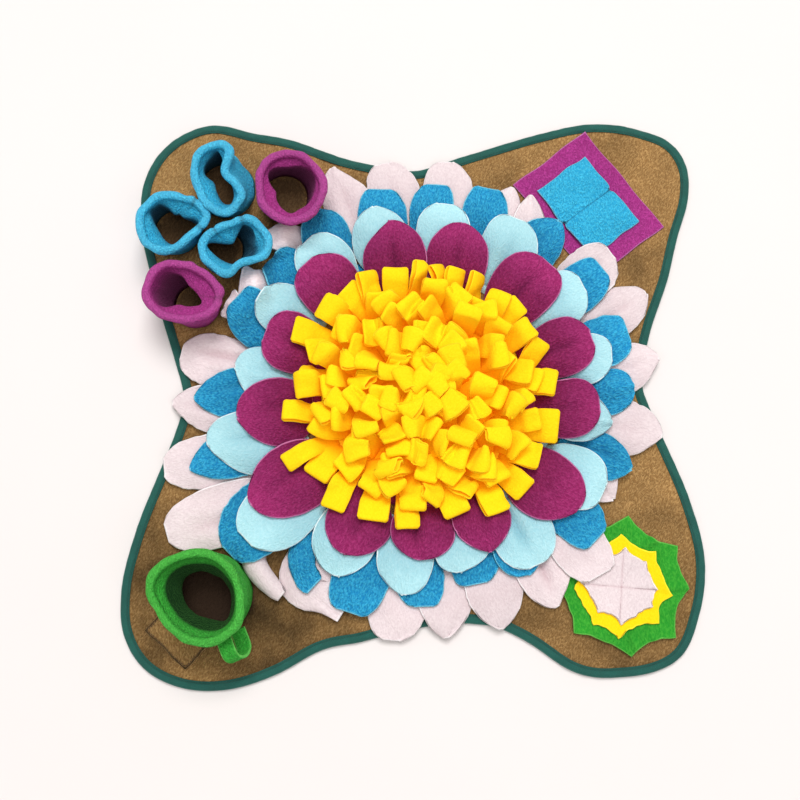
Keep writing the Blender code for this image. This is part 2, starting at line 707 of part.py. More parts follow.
def add_cup(name, floor):
    """A tube cup, open at both ends, with a rolled rim."""
    cup = CUPS[name]
    corners = []
    for share, blend, inset in CUP_PROFILE:
        ring = cup_ring(cup, share, blend, inset)
        height = floor + GAP + share * cup[6]
        corners += [(x, y, height) for x, y in ring]
    solid(name, corners, tube_faces(len(CUP_PROFILE), CUP_CORNERS), cup[0])


def wall_reach(cup, share, blend, bearing):
    """How far the cup's outer wall is from its foot's centre, along a bearing."""
    ring = cup_ring(cup, share, blend, 0.0) - np.array(cup[1:3])
    turn = np.radians(bearing)
    way = np.array((math.cos(turn), math.sin(turn)))
    side = np.array((-way[1], way[0]))
    near = ring[np.abs(ring @ side) < HANDLE_WIDTH * 0.9]
    return float((near @ way).max())


def add_handle(floor):
    """The green cup's strap handle, bent out from the wall and back to it."""
    cup = CUPS["cup_green"]
    way = np.array(polar((0.0, 0.0), HANDLE_BEARING, 1.0))
    side = np.array((-way[1], way[0]))
    shares = [row[0] for row in CUP_PROFILE[:4]]
    blends = [row[1] for row in CUP_PROFILE[:4]]
    middle = []
    for distance, height in HANDLE_PATH:
        share = height / cup[6]
        wall = wall_reach(cup, share, float(np.interp(share, shares, blends)), HANDLE_BEARING)
        middle.append((wall + GAP + distance, height + floor))
    middle = np.array(middle)
    along = np.gradient(middle, axis=0)
    along /= np.linalg.norm(along, axis=1)[:, None]
    along[0] = (1.0, 0.0)
    along[-1] = (-1.0, 0.0)
    out = np.stack((-along[:, 1], along[:, 0]), axis=1)
    corners = []
    for spot, normal in zip(middle, out):
        for across, deep in ((-1, -1), (1, -1), (1, 1), (-1, 1)):
            reach, height = spot + normal * deep * HANDLE_THICK / 2
            x, y = np.array(cup[1:3]) + way * reach + side * across * HANDLE_WIDTH / 2
            corners.append((x, y, height))
    last = 4 * (len(middle) - 1)
    faces = tube_faces(len(middle), 4, closed_rows=False)
    faces += [(0, 1, 2, 3), (last + 3, last + 2, last + 1, last)]
    solid("handle_green", corners, faces, GREEN)


# ---------------------------------------------------------------- the whole mat
def main():
    """Build every piece, from the mat upwards."""
    clear_scene()
    layers = Layers()
    floor = add_mat(layers)
    add_sheet("patch_brown", (0.28, 0.15, 0.07), layers, PATCH_CENTRE, PATCH_SIZE, PATCH_TURN, 2, 2,
              lambda u, v: floor + GAP)
    add_sheet("panel_plum", PLUM, layers, PLUM_PANEL_CENTRE, PLUM_PANEL_SIZE, PANEL_TURN, 4, 2,
              lambda u, v: floor + GAP)
    add_sheet("panel_blue", BLUE, layers, BLUE_PANEL_CENTRE, BLUE_PANEL_SIZE, PANEL_TURN, 8, 4,
              lambda u, v: floor + FLEECE + 2 * GAP
              + BLUE_PANEL_ARCH * abs(math.sin(math.pi * u)) * (1.0 - 0.5 * v * v))
    for star in STARS:
        add_star(layers, *star)
    for ring in RINGS:
        add_ring(layers, floor, *ring)
    count = add_loops(floor)
    for name in CUPS:
        add_cup(name, floor)
    add_handle(floor)
    print("loops", count)


main()
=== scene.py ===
"""The looks of a snuffle mat: napped fleece sheets, folded loops, tube cups and a bound edge, laid over the frame.

Tables are in millimetres and degrees, and MM turns them into metres when a mesh is made.  Bearings turn
anticlockwise from +X.  The mat lies on z = 0 with its middle at the origin.
"""

import logging
import math
import random
from dataclasses import dataclass, field
from enum import Enum
from typing import Any, Iterable, Sequence

import bpy
import numpy as np
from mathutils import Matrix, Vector


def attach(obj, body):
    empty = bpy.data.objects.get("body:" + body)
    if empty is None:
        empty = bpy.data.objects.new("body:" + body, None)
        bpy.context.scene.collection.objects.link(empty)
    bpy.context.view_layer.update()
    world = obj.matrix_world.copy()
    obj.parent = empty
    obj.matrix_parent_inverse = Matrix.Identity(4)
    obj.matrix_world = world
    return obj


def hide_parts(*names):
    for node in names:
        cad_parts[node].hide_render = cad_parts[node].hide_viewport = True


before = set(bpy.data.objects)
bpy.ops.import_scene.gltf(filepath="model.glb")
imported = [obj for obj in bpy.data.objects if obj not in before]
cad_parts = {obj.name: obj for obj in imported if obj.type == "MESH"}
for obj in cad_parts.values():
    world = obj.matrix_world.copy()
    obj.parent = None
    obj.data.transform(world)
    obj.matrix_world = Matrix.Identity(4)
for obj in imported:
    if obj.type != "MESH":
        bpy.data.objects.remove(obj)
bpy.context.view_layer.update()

LOG = logging.getLogger("snuffle_mat")

Array = np.ndarray
Thing = bpy.types.Object
Socket = bpy.types.NodeSocket
Colour = tuple[float, float, float]
Rows = tuple[tuple[float, ...], ...]

MM = 0.001
BODY = "root"

# ---- sizes shared by several pieces
FLEECE = 2.0               # one layer of fleece
GAP = 0.35                 # air between sewn pieces
LAY_GAP = 0.7              # air between a petal and what it lies on
MAT_TOP = 4.0
SEAT = MAT_TOP + GAP       # where a piece sewn to the mat begins
FLOWER = (10.5, -1.0)      # the flower's centre

OUTLINE: Rows = (
    # bearing, reach
    (2, 250), (10, 258), (17, 276), (25, 312), (31.5, 347), (36, 382), (40, 404), (44.5, 412),
    (50, 400), (57, 374), (64, 337), (71, 305), (80, 276), (89, 258), (99, 267), (108, 290),
    (116, 329), (121, 353), (126, 386), (131, 399), (135.5, 401), (141, 391), (147, 366), (155, 324),
    (163, 291), (172, 265), (181, 252), (190, 265), (199, 296), (207, 336), (214, 375), (219, 397),
    (225.5, 407), (231, 398), (238, 369), (244, 331), (249, 296), (258, 270), (267, 254), (275, 248),
    (284, 253), (290.5, 269), (295, 296), (299, 335), (306, 371), (315, 395), (322, 382), (330, 357),
    (338, 321), (347, 284), (355, 261),
)


# ---- small helpers
def srgb(red: float, green: float, blue: float) -> Colour:
    """Turn a colour as it is seen on a screen into linear light.

    Args:
        red: The red part, from 0 to 255.
        green: The green part.
        blue: The blue part.

    Returns:
        The colour, each part from 0 to 1.
    """
    parts = []
    for part in (red, green, blue):
        share = part / 255
        parts.append(share / 12.92 if share <= 0.04045 else ((share + 0.055) / 1.055) ** 2.4)
    return tuple(parts)


def polar(centre: Sequence[float], bearing: Any, reach: Any) -> Array:
    """Find the points at a bearing and reach from a centre, with x and y along the last axis."""
    turn = np.radians(bearing)
    return np.stack((centre[0] + reach * np.cos(turn), centre[1] + reach * np.sin(turn)), axis=-1)


def toward(bearing: Any) -> Array:
    """Find the unit vector at a bearing."""
    return polar((0, 0), bearing, 1)


def run_along(path: Array) -> Array:
    """Measure how far along a path each of its points lies."""
    return np.concatenate(([0], np.cumsum(np.linalg.norm(np.diff(path, axis=0), axis=1))))


def closed_curve(table: Rows, bearings: Any) -> Array:
    """Read the reach at each bearing from a smooth closed curve through a table's rows.

    Args:
        table: Rows of bearing and reach, by rising bearing.
        bearings: The bearings to read at.

    Returns:
        The reach at each bearing.
    """
    knots = np.array(table, float)
    turn = np.concatenate((knots[-2:, 0] - 360, knots[:, 0], knots[:3, 0] + 360))
    reach = np.concatenate((knots[-2:, 1], knots[:, 1], knots[:3, 1]))
    at = (np.asarray(bearings, float) - knots[0, 0]) % 360 + knots[0, 0]
    return hermite(turn, reach, at)


def hermite(knots: Array, values: Array, at: Any) -> Array:
    """Read a smooth curve through knots.

    Args:
        knots: The rising places of the knots.
        values: The value at each knot.
        at: The places to read at.

    Returns:
        The curve's value at each place.
    """
    knots = np.asarray(knots, float)
    values = np.asarray(values, float)
    at = np.clip(np.asarray(at, float), knots[0], knots[-1])
    slope = np.gradient(values, knots)
    left = np.clip(np.searchsorted(knots, at, side="right") - 1, 0, len(knots) - 2)
    span = knots[left + 1] - knots[left]
    t = (at - knots[left]) / span
    start = (1 + 2 * t) * (1 - t) ** 2 * values[left] + t * (1 - t) ** 2 * span * slope[left]
    end = t ** 2 * (3 - 2 * t) * values[left + 1] + t ** 2 * (t - 1) * span * slope[left + 1]
    return start + end


def ease(value: Any, low: float, high: float) -> Array:
    """Rise smoothly from 0 at low to 1 at high."""
    t = np.clip((np.asarray(value, float) - low) / (high - low), 0, 1)
    return t * t * (3 - 2 * t)


def away(points: Array, x: float, y: float) -> Array:
    """Measure each point's distance from a place, seen from above."""
    return np.hypot(points[..., 0] - x, points[..., 1] - y)


def unit(vectors: Array) -> Array:
    """Scale vectors along the last axis to length 1."""
    return vectors / np.maximum(np.linalg.norm(vectors, axis=-1, keepdims=True), 1e-9)


def inward(points: Array) -> Array:
    """Find the unit normals that point inside an anticlockwise outline, one for each corner."""
    along = unit(np.roll(points, -1, axis=0) - np.roll(points, 1, axis=0))
    return np.stack((-along[:, 1], along[:, 0]), axis=1)


def mat_outline(stations: int) -> Array:
    """Space corners evenly along the mat's outline, centred on the origin.

    Args:
        stations: How many corners.

    Returns:
        The corners, x and y.
    """
    bearings = np.arange(0, 360, 0.25)
    fine = polar((0, 0), bearings, closed_curve(OUTLINE, bearings))
    loop = np.vstack((fine, fine[:1]))
    run = run_along(loop)
    at = np.arange(stations) * run[-1] / stations
    points = np.stack((np.interp(at, run, loop[:, 0]), np.interp(at, run, loop[:, 1])), axis=1)
    return points - (points.min(axis=0) + points.max(axis=0)) / 2


def ridges(table: Rows, x: Array, y: Array, height: Any, start: tuple[float, float],
           end: tuple[float, float], slant: float = 0) -> Array:
    """Add straight ridges and troughs to a height.

    Args:
        table: Rows of bearing and reach of the start, bearing of the run, length, width and height.
        x: The places along X.
        y: The places along Y.
        height: The height before.
        start: Where along it a ridge begins to rise and is whole, as shares of its length.
        end: Where it begins to sink and is gone.
        slant: How far it leaves its straight line.

    Returns:
        The new height.
    """
    for bearing, reach, turn, length, wide, high in table:
        spot, way = polar((0, 0), bearing, reach), toward(turn)
        run = (x - spot[0]) * way[0] + (y - spot[1]) * way[1]
        off = -(x - spot[0]) * way[1] + (y - spot[1]) * way[0] + slant * run
        along = ease(run, start[0] * length, start[1] * length) * (1 - ease(run, end[0] * length, end[1] * length))
        height = height + high * along * np.exp(-(off / wide) ** 2)
    return height


def in_scene(name: str, data: bpy.types.ID) -> Thing:
    """Put data into the scene as an object.

    Args:
        name: The object's name.
        data: Its mesh, light or camera.

    Returns:
        The object.
    """
    thing = bpy.data.objects.new(name, data)
    bpy.context.scene.collection.objects.link(thing)
    return thing


class Ripple:
    """Soft seeded waves over a plane, about -1 to 1 high."""

    def __init__(self, seed: int, wavelength: float, waves: int = 7) -> None:
        """Draw the waves.

        Args:
            seed: The seed of the draw.
            wavelength: The usual distance between crests.
            waves: How many plane waves are summed.
        """
        draw = np.random.default_rng(seed)
        angle = draw.uniform(0, 2 * np.pi, waves)
        length = wavelength * draw.uniform(0.7, 1.6, waves)
        self.way = 2 * np.pi / length * np.stack((np.cos(angle), np.sin(angle)))
        self.phase = draw.uniform(0, 2 * np.pi, waves)
        self.scale = 1 / math.sqrt(waves)

    def at(self, x: Any, y: Any) -> Array:
        """Read the waves' height at each place."""
        x, y = np.asarray(x, float)[..., None], np.asarray(y, float)[..., None]
        return np.sin(x * self.way[0] + y * self.way[1] + self.phase).sum(axis=-1) * self.scale


# ---- finishes
class Slot(Enum):
    """The record's material slots."""

    BROWN = "brown_fleece"
    TEAL = "teal_binding"
    PINK = "pink_fleece"
    BLUE = "blue_fleece"
    SKY = "sky_fleece"
    PLUM = "plum_fleece"
    YELLOW = "yellow_fleece"
    GREEN = "green_fleece"


class Wiring:
    """A node tree while it is put together."""

    def __init__(self, tree: bpy.types.NodeTree) -> None:
        """Start on an empty tree."""
        self.tree = tree

    def add(self, kind: str, inputs: dict[Any, Any] | None = None, **settings: Any) -> bpy.types.Node:
        """Add a node.

        Args:
            kind: The node's type.
            inputs: Values, sockets or nodes (their first output) for its inputs, by name or number.
            settings: Properties of the node.

        Returns:
            The new node.
        """
        node = self.tree.nodes.new(kind)
        for key, value in settings.items():
            setattr(node, key, value)
        for key, value in (inputs or {}).items():
            value = value.outputs[0] if isinstance(value, bpy.types.Node) else value
            if isinstance(value, Socket):
                self.tree.links.new(value, node.inputs[key])
            else:
                node.inputs[key].default_value = value
        return node

    def maths(self, operation: str, *values: Any) -> Socket:
        """Add a Math node on up to three values and return its output."""
        return self.add("ShaderNodeMath", dict(enumerate(values)), operation=operation).outputs[0]


class Shading(Wiring):
    """A material's node tree while it is put together."""

    def __init__(self, name: str) -> None:
        """Start an empty tree for a new material.

        Args:
            name: The material's name.
        """
        self.material = bpy.data.materials.new(name)
        self.material.use_nodes = True
        super().__init__(self.material.node_tree)
        self.tree.nodes.clear()

    def mark(self, name: str, output: str = "Fac") -> Socket:
        """Read one of the mesh's own attributes."""
        node = self.add("ShaderNodeAttribute", attribute_name=name, attribute_type="GEOMETRY")
        return node.outputs[output]

    def noise(self, place: Any, scale: float, detail: float, output: int = 0) -> Socket:
        """Add a Noise Texture and return its value, or its colour at output 1."""
        return self.add("ShaderNodeTexNoise", {"Vector": place, "Scale": scale, "Detail": detail}).outputs[output]

    def spread(self, value: Any, low: float, high: float, to_low: float = 0,
               to_high: float = 1.0) -> Socket:
        """Map the range from low to high smoothly onto another."""
        inputs = {"Value": value, "From Min": low, "From Max": high, "To Min": to_low, "To Max": to_high}
        return self.add("ShaderNodeMapRange", inputs, interpolation_type="SMOOTHSTEP").outputs[0]

    def blend(self, factor: Any, first: Any, second: Any, way: str = "MIX") -> Socket:
        """Mix two colours.

        Args:
            factor: How much of the second.
            first: A colour, socket or node.
            second: A colour, socket or node.
            way: Blender's name of the blend.

        Returns:
            The mixed colour.
        """
        first = (*first, 1) if isinstance(first, tuple) else first
        second = (*second, 1) if isinstance(second, tuple) else second
        node = self.add("ShaderNodeMix", {0: factor, 6: first, 7: second}, data_type="RGBA", blend_type=way)
        return node.outputs[2]

    def finish(self, colour: Socket, rough: Any, bump: tuple[float, float, Any] | None = None,
               extra: dict[str, Any] | None = None) -> bpy.types.Material:
        """Add the shader and the material's output.

        Args:
            colour: The base colour.
            rough: The roughness.
            bump: The bump's strength, its height in millimetres and its pattern.
            extra: The shader's other inputs.

        Returns:
            The material.
        """
        inputs = {"Base Color": colour, "Roughness": rough, **(extra or {})}
        if bump:
            strength, high, pattern = bump
            inputs["Normal"] = self.add("ShaderNodeBump", {
                "Strength": strength, "Distance": high * MM, "Height": pattern})
        self.add("ShaderNodeOutputMaterial", {"Surface": self.add("ShaderNodeBsdfPrincipled", inputs)})
        return self.material


@dataclass(frozen=True)
class Fleece:
    """A napped knit: tufts under fine fuzz, with a painted highlight along a cut edge and painted shade inside a
    fold.
    """

    slot: Slot
    face: Colour           # on the tufts
    hollow: Colour         # between the tufts
    cut: Colour            # painted highlight on a cut edge, also the fuzz's and the sheen's tint
    deep: Colour           # painted shade deep inside a fold, also the colour of the painted emission
    pitch: float = 1.9     # distance between tufts
    relief: float = 0.5    # height of the tufts
    stretch: float = 1.8   # how much longer the tufts are along the cloth than across it
    worm: float = 0.5      # how far the tufts run together into curls, from 0 to 1
    mottle: float = 0.06   # how far the shade wanders over a hand's width
    sheen: float = 0.12    # weight of the fuzz's sheen
    painted_glow: float = 0.0      # how strongly the cloth is painted glowing in its deep colour, standing in for light soaking through it

    def material(self) -> bpy.types.Material:
        """Build the cloth's material, once for each colour.

        Returns:
            The material.
        """
        title = f"{self.slot.value}_{round(999 * sum(self.face))}"
        known = bpy.data.materials.get(title)
        if known:
            return known
        tree = Shading(title)
        cloth = tree.mark("cloth", "Vector")
        across = 1 / self.pitch
        place = tree.add("ShaderNodeMapping", {"Vector": cloth, "Scale": (across, across / self.stretch, across)})
        nap = self.tufts(tree, place)
        fuzz = tree.noise(place, 4.5, 2)
        colour = tree.blend(nap, self.hollow, self.face)
        colour = tree.blend(tree.spread(fuzz, 0.55, 0.8, 0, 0.35), colour, self.cut)
        # the tone mark is a random shade, and on the mat and some petals painted light and shade
        colour = tree.add("ShaderNodeHueSaturation", {"Value": self.shade(tree, cloth), "Color": colour})
        # painted shade: the fold mark darkens folds, hollows and roots towards the deep colour
        colour = tree.blend(tree.mark("fold"), colour, self.deep)
        # painted highlight: the edge mark lightens the cut edges towards the cut colour
        colour = tree.blend(tree.mark("edge"), colour, self.cut)
        return tree.finish(
            colour, tree.spread(nap, 0, 1, 1, 0.86),
            (1, self.relief, tree.maths("MULTIPLY_ADD", fuzz, 0.35, nap)),
            # the Emission inputs paint the cloth glowing in its deep colour, though it is no lamp
            {"Specular IOR Level": 0.15, "Sheen Weight": self.sheen, "Sheen Roughness": 0.45,
             "Sheen Tint": (*self.cut, 1), "Emission Color": (*self.deep, 1), "Emission Strength": self.painted_glow})

    def tufts(self, tree: Shading, place: bpy.types.Node) -> bpy.types.Node:
        """Make the nap's pattern, from 0 between the tufts to 1 on them.

        Args:
            tree: The tree to add to.
            place: The cloth's own coordinates, in tufts.

        Returns:
            The pattern.
        """
        wander = tree.noise(place, 0.55, 1, output=1)
        bent = tree.add("ShaderNodeVectorMath", {0: wander, 1: (1.1, 1.1, 1.1), 2: place}, operation="MULTIPLY_ADD")
        curl = tree.spread(tree.noise(bent, 1.1, 2), 0.36, 0.64)
        cell = tree.add("ShaderNodeTexVoronoi", {"Vector": bent, "Scale": 1, "Smoothness": 0.6}, feature="SMOOTH_F1")
        return tree.add("ShaderNodeMix", {0: self.worm, 2: tree.spread(cell, 0.05, 0.7, 1, 0), 3: curl})

    def shade(self, tree: Shading, cloth: Socket) -> Socket:
        """Let the brightness, about 1, wander over the cloth and from piece to piece, and follow the tone mark with
        its painted light and shade.
        """
        mottle = tree.spread(tree.noise(cloth, 0.022, 3), 0.3, 0.7, 1 - self.mottle, 1 + self.mottle)
        return tree.maths("ADD", mottle, tree.maths("MULTIPLY", tree.mark("tone"), 0.5 * self.mottle + 0.03))


@dataclass(frozen=True)
class Tape:
    """A plain woven tape with a slight sheen."""

    slot: Slot
    face: Colour           # on the raised threads
    hollow: Colour         # between them
    painted_edge_shading: Colour           # painted highlight along its outer fold
    thread: float = 0.55   # distance between threads

    def material(self) -> bpy.types.Material:
        """Build the tape's material: a weave that follows the tape, with darker patches, painted shade in its folds
        and a painted highlight along its outer fold.

        Returns:
            The material.
        """
        tree = Shading(f"{self.slot.value}_tape")
        cloth = tree.mark("cloth", "Vector")
        split = tree.add("ShaderNodeSeparateXYZ", {0: cloth})
        turns = 2 * math.pi / self.thread
        warp = tree.maths("SINE", tree.maths("MULTIPLY", split.outputs[0], turns))
        weft = tree.maths("SINE", tree.maths("MULTIPLY", split.outputs[1], turns))
        weave = tree.spread(tree.maths("MULTIPLY", warp, weft), -1, 1)
        fine = tree.noise(cloth, 0.9, 2)
        colour = tree.blend(weave, self.hollow, self.face)
        colour = tree.blend(tree.spread(tree.noise(cloth, 0.05, 3), 0.35, 0.7, 0, 0.35), colour, self.hollow)
        # painted shade from the fold mark, in the colour between the threads
        colour = tree.blend(tree.mark("fold"), colour, self.hollow)
        # painted highlight from the edge mark along the outer fold
        colour = tree.blend(tree.mark("edge"), colour, self.painted_edge_shading)
        return tree.finish(colour, tree.spread(fine, 0.3, 0.7, 0.55, 0.75),
                           (0.7, 0.15, tree.maths("MULTIPLY_ADD", fine, 0.6, weave)),
                           {"Specular IOR Level": 0.35, "Sheen Weight": 0.15, "Sheen Roughness": 0.4})


@dataclass(frozen=True)
class Thread:
    """A twisted sewing thread, named after what it sews."""

    name: str
    colour: Colour

    def material(self) -> bpy.types.Material:
        """Build the thread's material, with its twist as fine bands.

        Returns:
            The material.
        """
        tree = Shading(f"thread_{self.name}")
        twist = tree.noise(tree.add("ShaderNodeTexCoord").outputs["Object"], 2500, 1)
        dark = tuple(part * 0.55 for part in self.colour)
        colour = tree.blend(tree.spread(twist, 0.35, 0.65), dark, self.colour)
        return tree.finish(colour, tree.spread(twist, 0.3, 0.7, 0.5, 0.8), (0.6, 0.05, twist))


BROWN = Fleece(Slot.BROWN, srgb(181, 142, 90), srgb(132, 97, 55), srgb(196, 162, 112), srgb(60, 44, 34),
               pitch=1.5, relief=1.1, stretch=2.2, worm=0.6, mottle=0.18, sheen=0.15)
PINK = Fleece(Slot.PINK, srgb(227, 212, 213), srgb(215, 198, 200), srgb(246, 239, 239), srgb(160, 110, 120),
              pitch=2, relief=0.4, worm=0.6, mottle=0.03)
BLUE = Fleece(Slot.BLUE, srgb(62, 184, 224), srgb(18, 124, 180), srgb(128, 216, 240), srgb(6, 56, 100),
              pitch=1.8, relief=1.4, worm=0.45, sheen=0.15)
SKY = Fleece(Slot.SKY, srgb(178, 221, 227), srgb(162, 210, 218), srgb(228, 244, 246), srgb(70, 134, 156),
             worm=0.6, mottle=0.03)
PLUM = Fleece(Slot.PLUM, srgb(171, 52, 115), srgb(135, 30, 85), srgb(204, 122, 172), srgb(60, 8, 36),
              relief=1, stretch=1.7)
MAGENTA = Fleece(Slot.PLUM, srgb(186, 63, 148), srgb(148, 41, 114), srgb(206, 124, 186), srgb(104, 40, 78),
                 relief=1.4, stretch=1.4, sheen=0.2)
AZURE = Fleece(Slot.BLUE, srgb(72, 203, 239), srgb(32, 156, 204), srgb(136, 216, 240), srgb(16, 62, 88),
               relief=1.6, stretch=1.5, mottle=0.05, sheen=0.2)
YELLOW = Fleece(Slot.YELLOW, srgb(252, 212, 18), srgb(248, 200, 14), srgb(255, 230, 52), srgb(248, 168, 6),
                pitch=2, relief=0.25, stretch=1.5, mottle=0.02, sheen=0.05, painted_glow=0.12)
GREEN = Fleece(Slot.GREEN, srgb(72, 188, 68), srgb(40, 146, 44), srgb(128, 218, 106), srgb(12, 46, 16),
               pitch=1.8, relief=1.6, stretch=1.5, mottle=0.08, sheen=0.2)
LEAF = Fleece(Slot.GREEN, srgb(64, 166, 50), srgb(36, 140, 40), srgb(108, 192, 82), srgb(8, 62, 18),
              relief=0.6, stretch=2, worm=0.6, mottle=0.08)
TEAL = Tape(Slot.TEAL, srgb(24, 104, 92), srgb(8, 62, 54), srgb(76, 152, 138))


# ---- meshes of cloth
class Heap:
    """The height that laid pieces already take, over a square grid."""

    CELL = 2.0
    REACH = 330.0

    def __init__(self) -> None:
        """Start with an empty floor."""
        side = int(2 * self.REACH / self.CELL) + 1
        self.taken = np.zeros((side, side))

    def height(self, points: Array) -> Array:
        """Read the height taken under each point.

        Args:
            points: The points; only their x and y are read.

        Returns:
            The heights.
        """
        place = np.clip((points[..., :2] + self.REACH) / self.CELL, 0, len(self.taken) - 1.001)
        low = place.astype(int)
        part = place - low
        i, j = low[..., 0], low[..., 1]
        a, b = part[..., 0], part[..., 1]
        return ((1 - a) * (1 - b) * self.taken[i, j] + a * (1 - b) * self.taken[i + 1, j]
                + (1 - a) * b * self.taken[i, j + 1] + a * b * self.taken[i + 1, j + 1])

    def stamp(self, points: Array, spread: int = 1) -> None:
        """Take the space up to points that lie closer together than a cell.

        Args:
            points: The points.
            spread: How many cells round each point are taken too.
        """
        flat = points.reshape(-1, 3)
        cell = np.round((flat[:, :2] + self.REACH) / self.CELL).astype(int)
        inside = ((cell >= 0) & (cell < len(self.taken))).all(axis=1)
        fresh = np.zeros_like(self.taken)
        np.maximum.at(fresh, (cell[inside, 0], cell[inside, 1]), flat[inside, 2])
        wide = fresh.copy()
        for di in range(-spread, spread + 1):
            for dj in range(-spread, spread + 1):
                wide = np.maximum(wide, np.roll(fresh, (di, dj), axis=(0, 1)))
        self.taken = np.maximum(self.taken, wide)

    def settle(self, grid: Array, gap: Any, hold: Any = 1, rounds: int = 14) -> Array:
        """Lift a sheet's lower face where it would sink into the heap, and ease the lift out around it.

        Args:
            grid: The lower face as rows of points.
            gap: The air left under it.
            hold: How free each point is to rise, from 0 to 1.
            rounds: How far the lift is eased out.

        Returns:
            The settled face.
        """
        lift = need = np.maximum(self.height(grid) + gap - grid[..., 2], 0) * hold
        for _ in range(rounds):
            wide = np.pad(lift, 1, mode="edge")
            soft = (wide[:-2, 1:-1] + wide[2:, 1:-1] + wide[1:-1, :-2] + wide[1:-1, 2:]) / 4
            lift = np.maximum(need, 0.35 * lift + 0.65 * soft) * hold
        settled = grid.copy()
        settled[..., 2] += lift
        return settled

    def busy(self, reach: float) -> Array:
        """Say how near each cell is to a laid piece.

        Args:
            reach: The distance over which the nearness fades.

        Returns:
            The nearness, 1 on or beside a piece.
        """
        near = (self.taken > MAT_TOP + 0.2).astype(float)
        sides = ((0, 1), (1, 0), (0, -1), (-1, 0))
        for _ in range(int(reach / self.CELL)):
            wide = np.maximum.reduce([np.roll(near, side, axis=(0, 1)) for side in sides])
            near = np.maximum(near, wide - self.CELL / reach)
        return near


def dense(grid: Array, step: float = 1.3) -> Array:
    """Fill in a grid of points until they lie closer than a step.

    Args:
        grid: Rows of points.
        step: The widest distance allowed.

    Returns:
        The finer grid.
    """
    rows, columns = grid.shape[:2]
    tall = np.linalg.norm(np.diff(grid, axis=0), axis=2).max()
    wide = np.linalg.norm(np.diff(grid, axis=1), axis=2).max()
    u = np.linspace(0, rows - 1, (rows - 1) * max(1, math.ceil(tall / step)) + 1)
    v = np.linspace(0, columns - 1, (columns - 1) * max(1, math.ceil(wide / step)) + 1)
    i = np.minimum(u.astype(int), rows - 2)
    j = np.minimum(v.astype(int), columns - 2)
    a = (u - i)[:, None, None]
    b = (v - j)[None, :, None]
    low = grid[i][:, j] * (1 - b) + grid[i][:, j + 1] * b
    high = grid[i + 1][:, j] * (1 - b) + grid[i + 1][:, j + 1] * b
    return low * (1 - a) + high * a


def grid_faces(rows: int, columns: int) -> list[tuple[int, ...]]:
    """List a grid's quads, anticlockwise for rows along +Y and columns along +X."""
    return [(r * columns + c, r * columns + c + 1, (r + 1) * columns + c + 1, (r + 1) * columns + c)
            for r in range(rows - 1) for c in range(columns - 1)]


def grid_rim(rows: int, columns: int) -> list[int]:
    """List a grid's border points, anticlockwise for rows along +Y and columns along +X.

    Args:
        rows: The number of rows.
        columns: The number of points in a row.

    Returns:
        The points' numbers.
    """
    rim = list(range(columns - 1))
    rim += [r * columns + columns - 1 for r in range(rows - 1)]
    rim += [(rows - 1) * columns + c for c in range(columns - 1, 0, -1)]
    rim += [r * columns for r in range(rows - 1, 0, -1)]
    return rim


def tube_faces(rows: int, count: int, closed: bool = True) -> list[tuple[int, ...]]:
    """List the quads between neighbouring rings of points.

    Args:
        rows: The number of rings.
        count: The number of points in a ring.
        closed: Whether the last ring joins the first.

    Returns:
        The quads.
    """
    faces = []
    for row in range(rows if closed else rows - 1):
        for k in range(count):
            after = (k + 1) % count
            above = (row + 1) % rows * count
            faces.append((row * count + k, row * count + after, above + after, above + k))
    return faces


def tube_ends(rows: int, count: int) -> list[tuple[int, ...]]:
    """List the two faces that close an open tube."""
    return [tuple(reversed(range(count))), tuple(range((rows - 1) * count, rows * count))]


def disc_faces(rings: int, count: int) -> tuple[list[tuple[int, ...]], list[int]]:
    """List the faces of a disc of rings round a last point in its middle, and its border points.

    Args:
        rings: The number of rings, from the middle outwards.
        count: The number of points in a ring.

    Returns:
        The faces, anticlockwise from above, and the border.
    """
    faces = [tuple(reversed(face)) for face in tube_faces(rings, count, closed=False)]
    faces += [(rings * count, k, (k + 1) % count) for k in range(count)]
    return faces, [(rings - 1) * count + k for k in range(count)]


def grid_normals(grid: Array) -> Array:
    """Find the upward unit normals of a grid of points."""
    return unit(np.cross(np.gradient(grid, axis=1), np.gradient(grid, axis=0)))


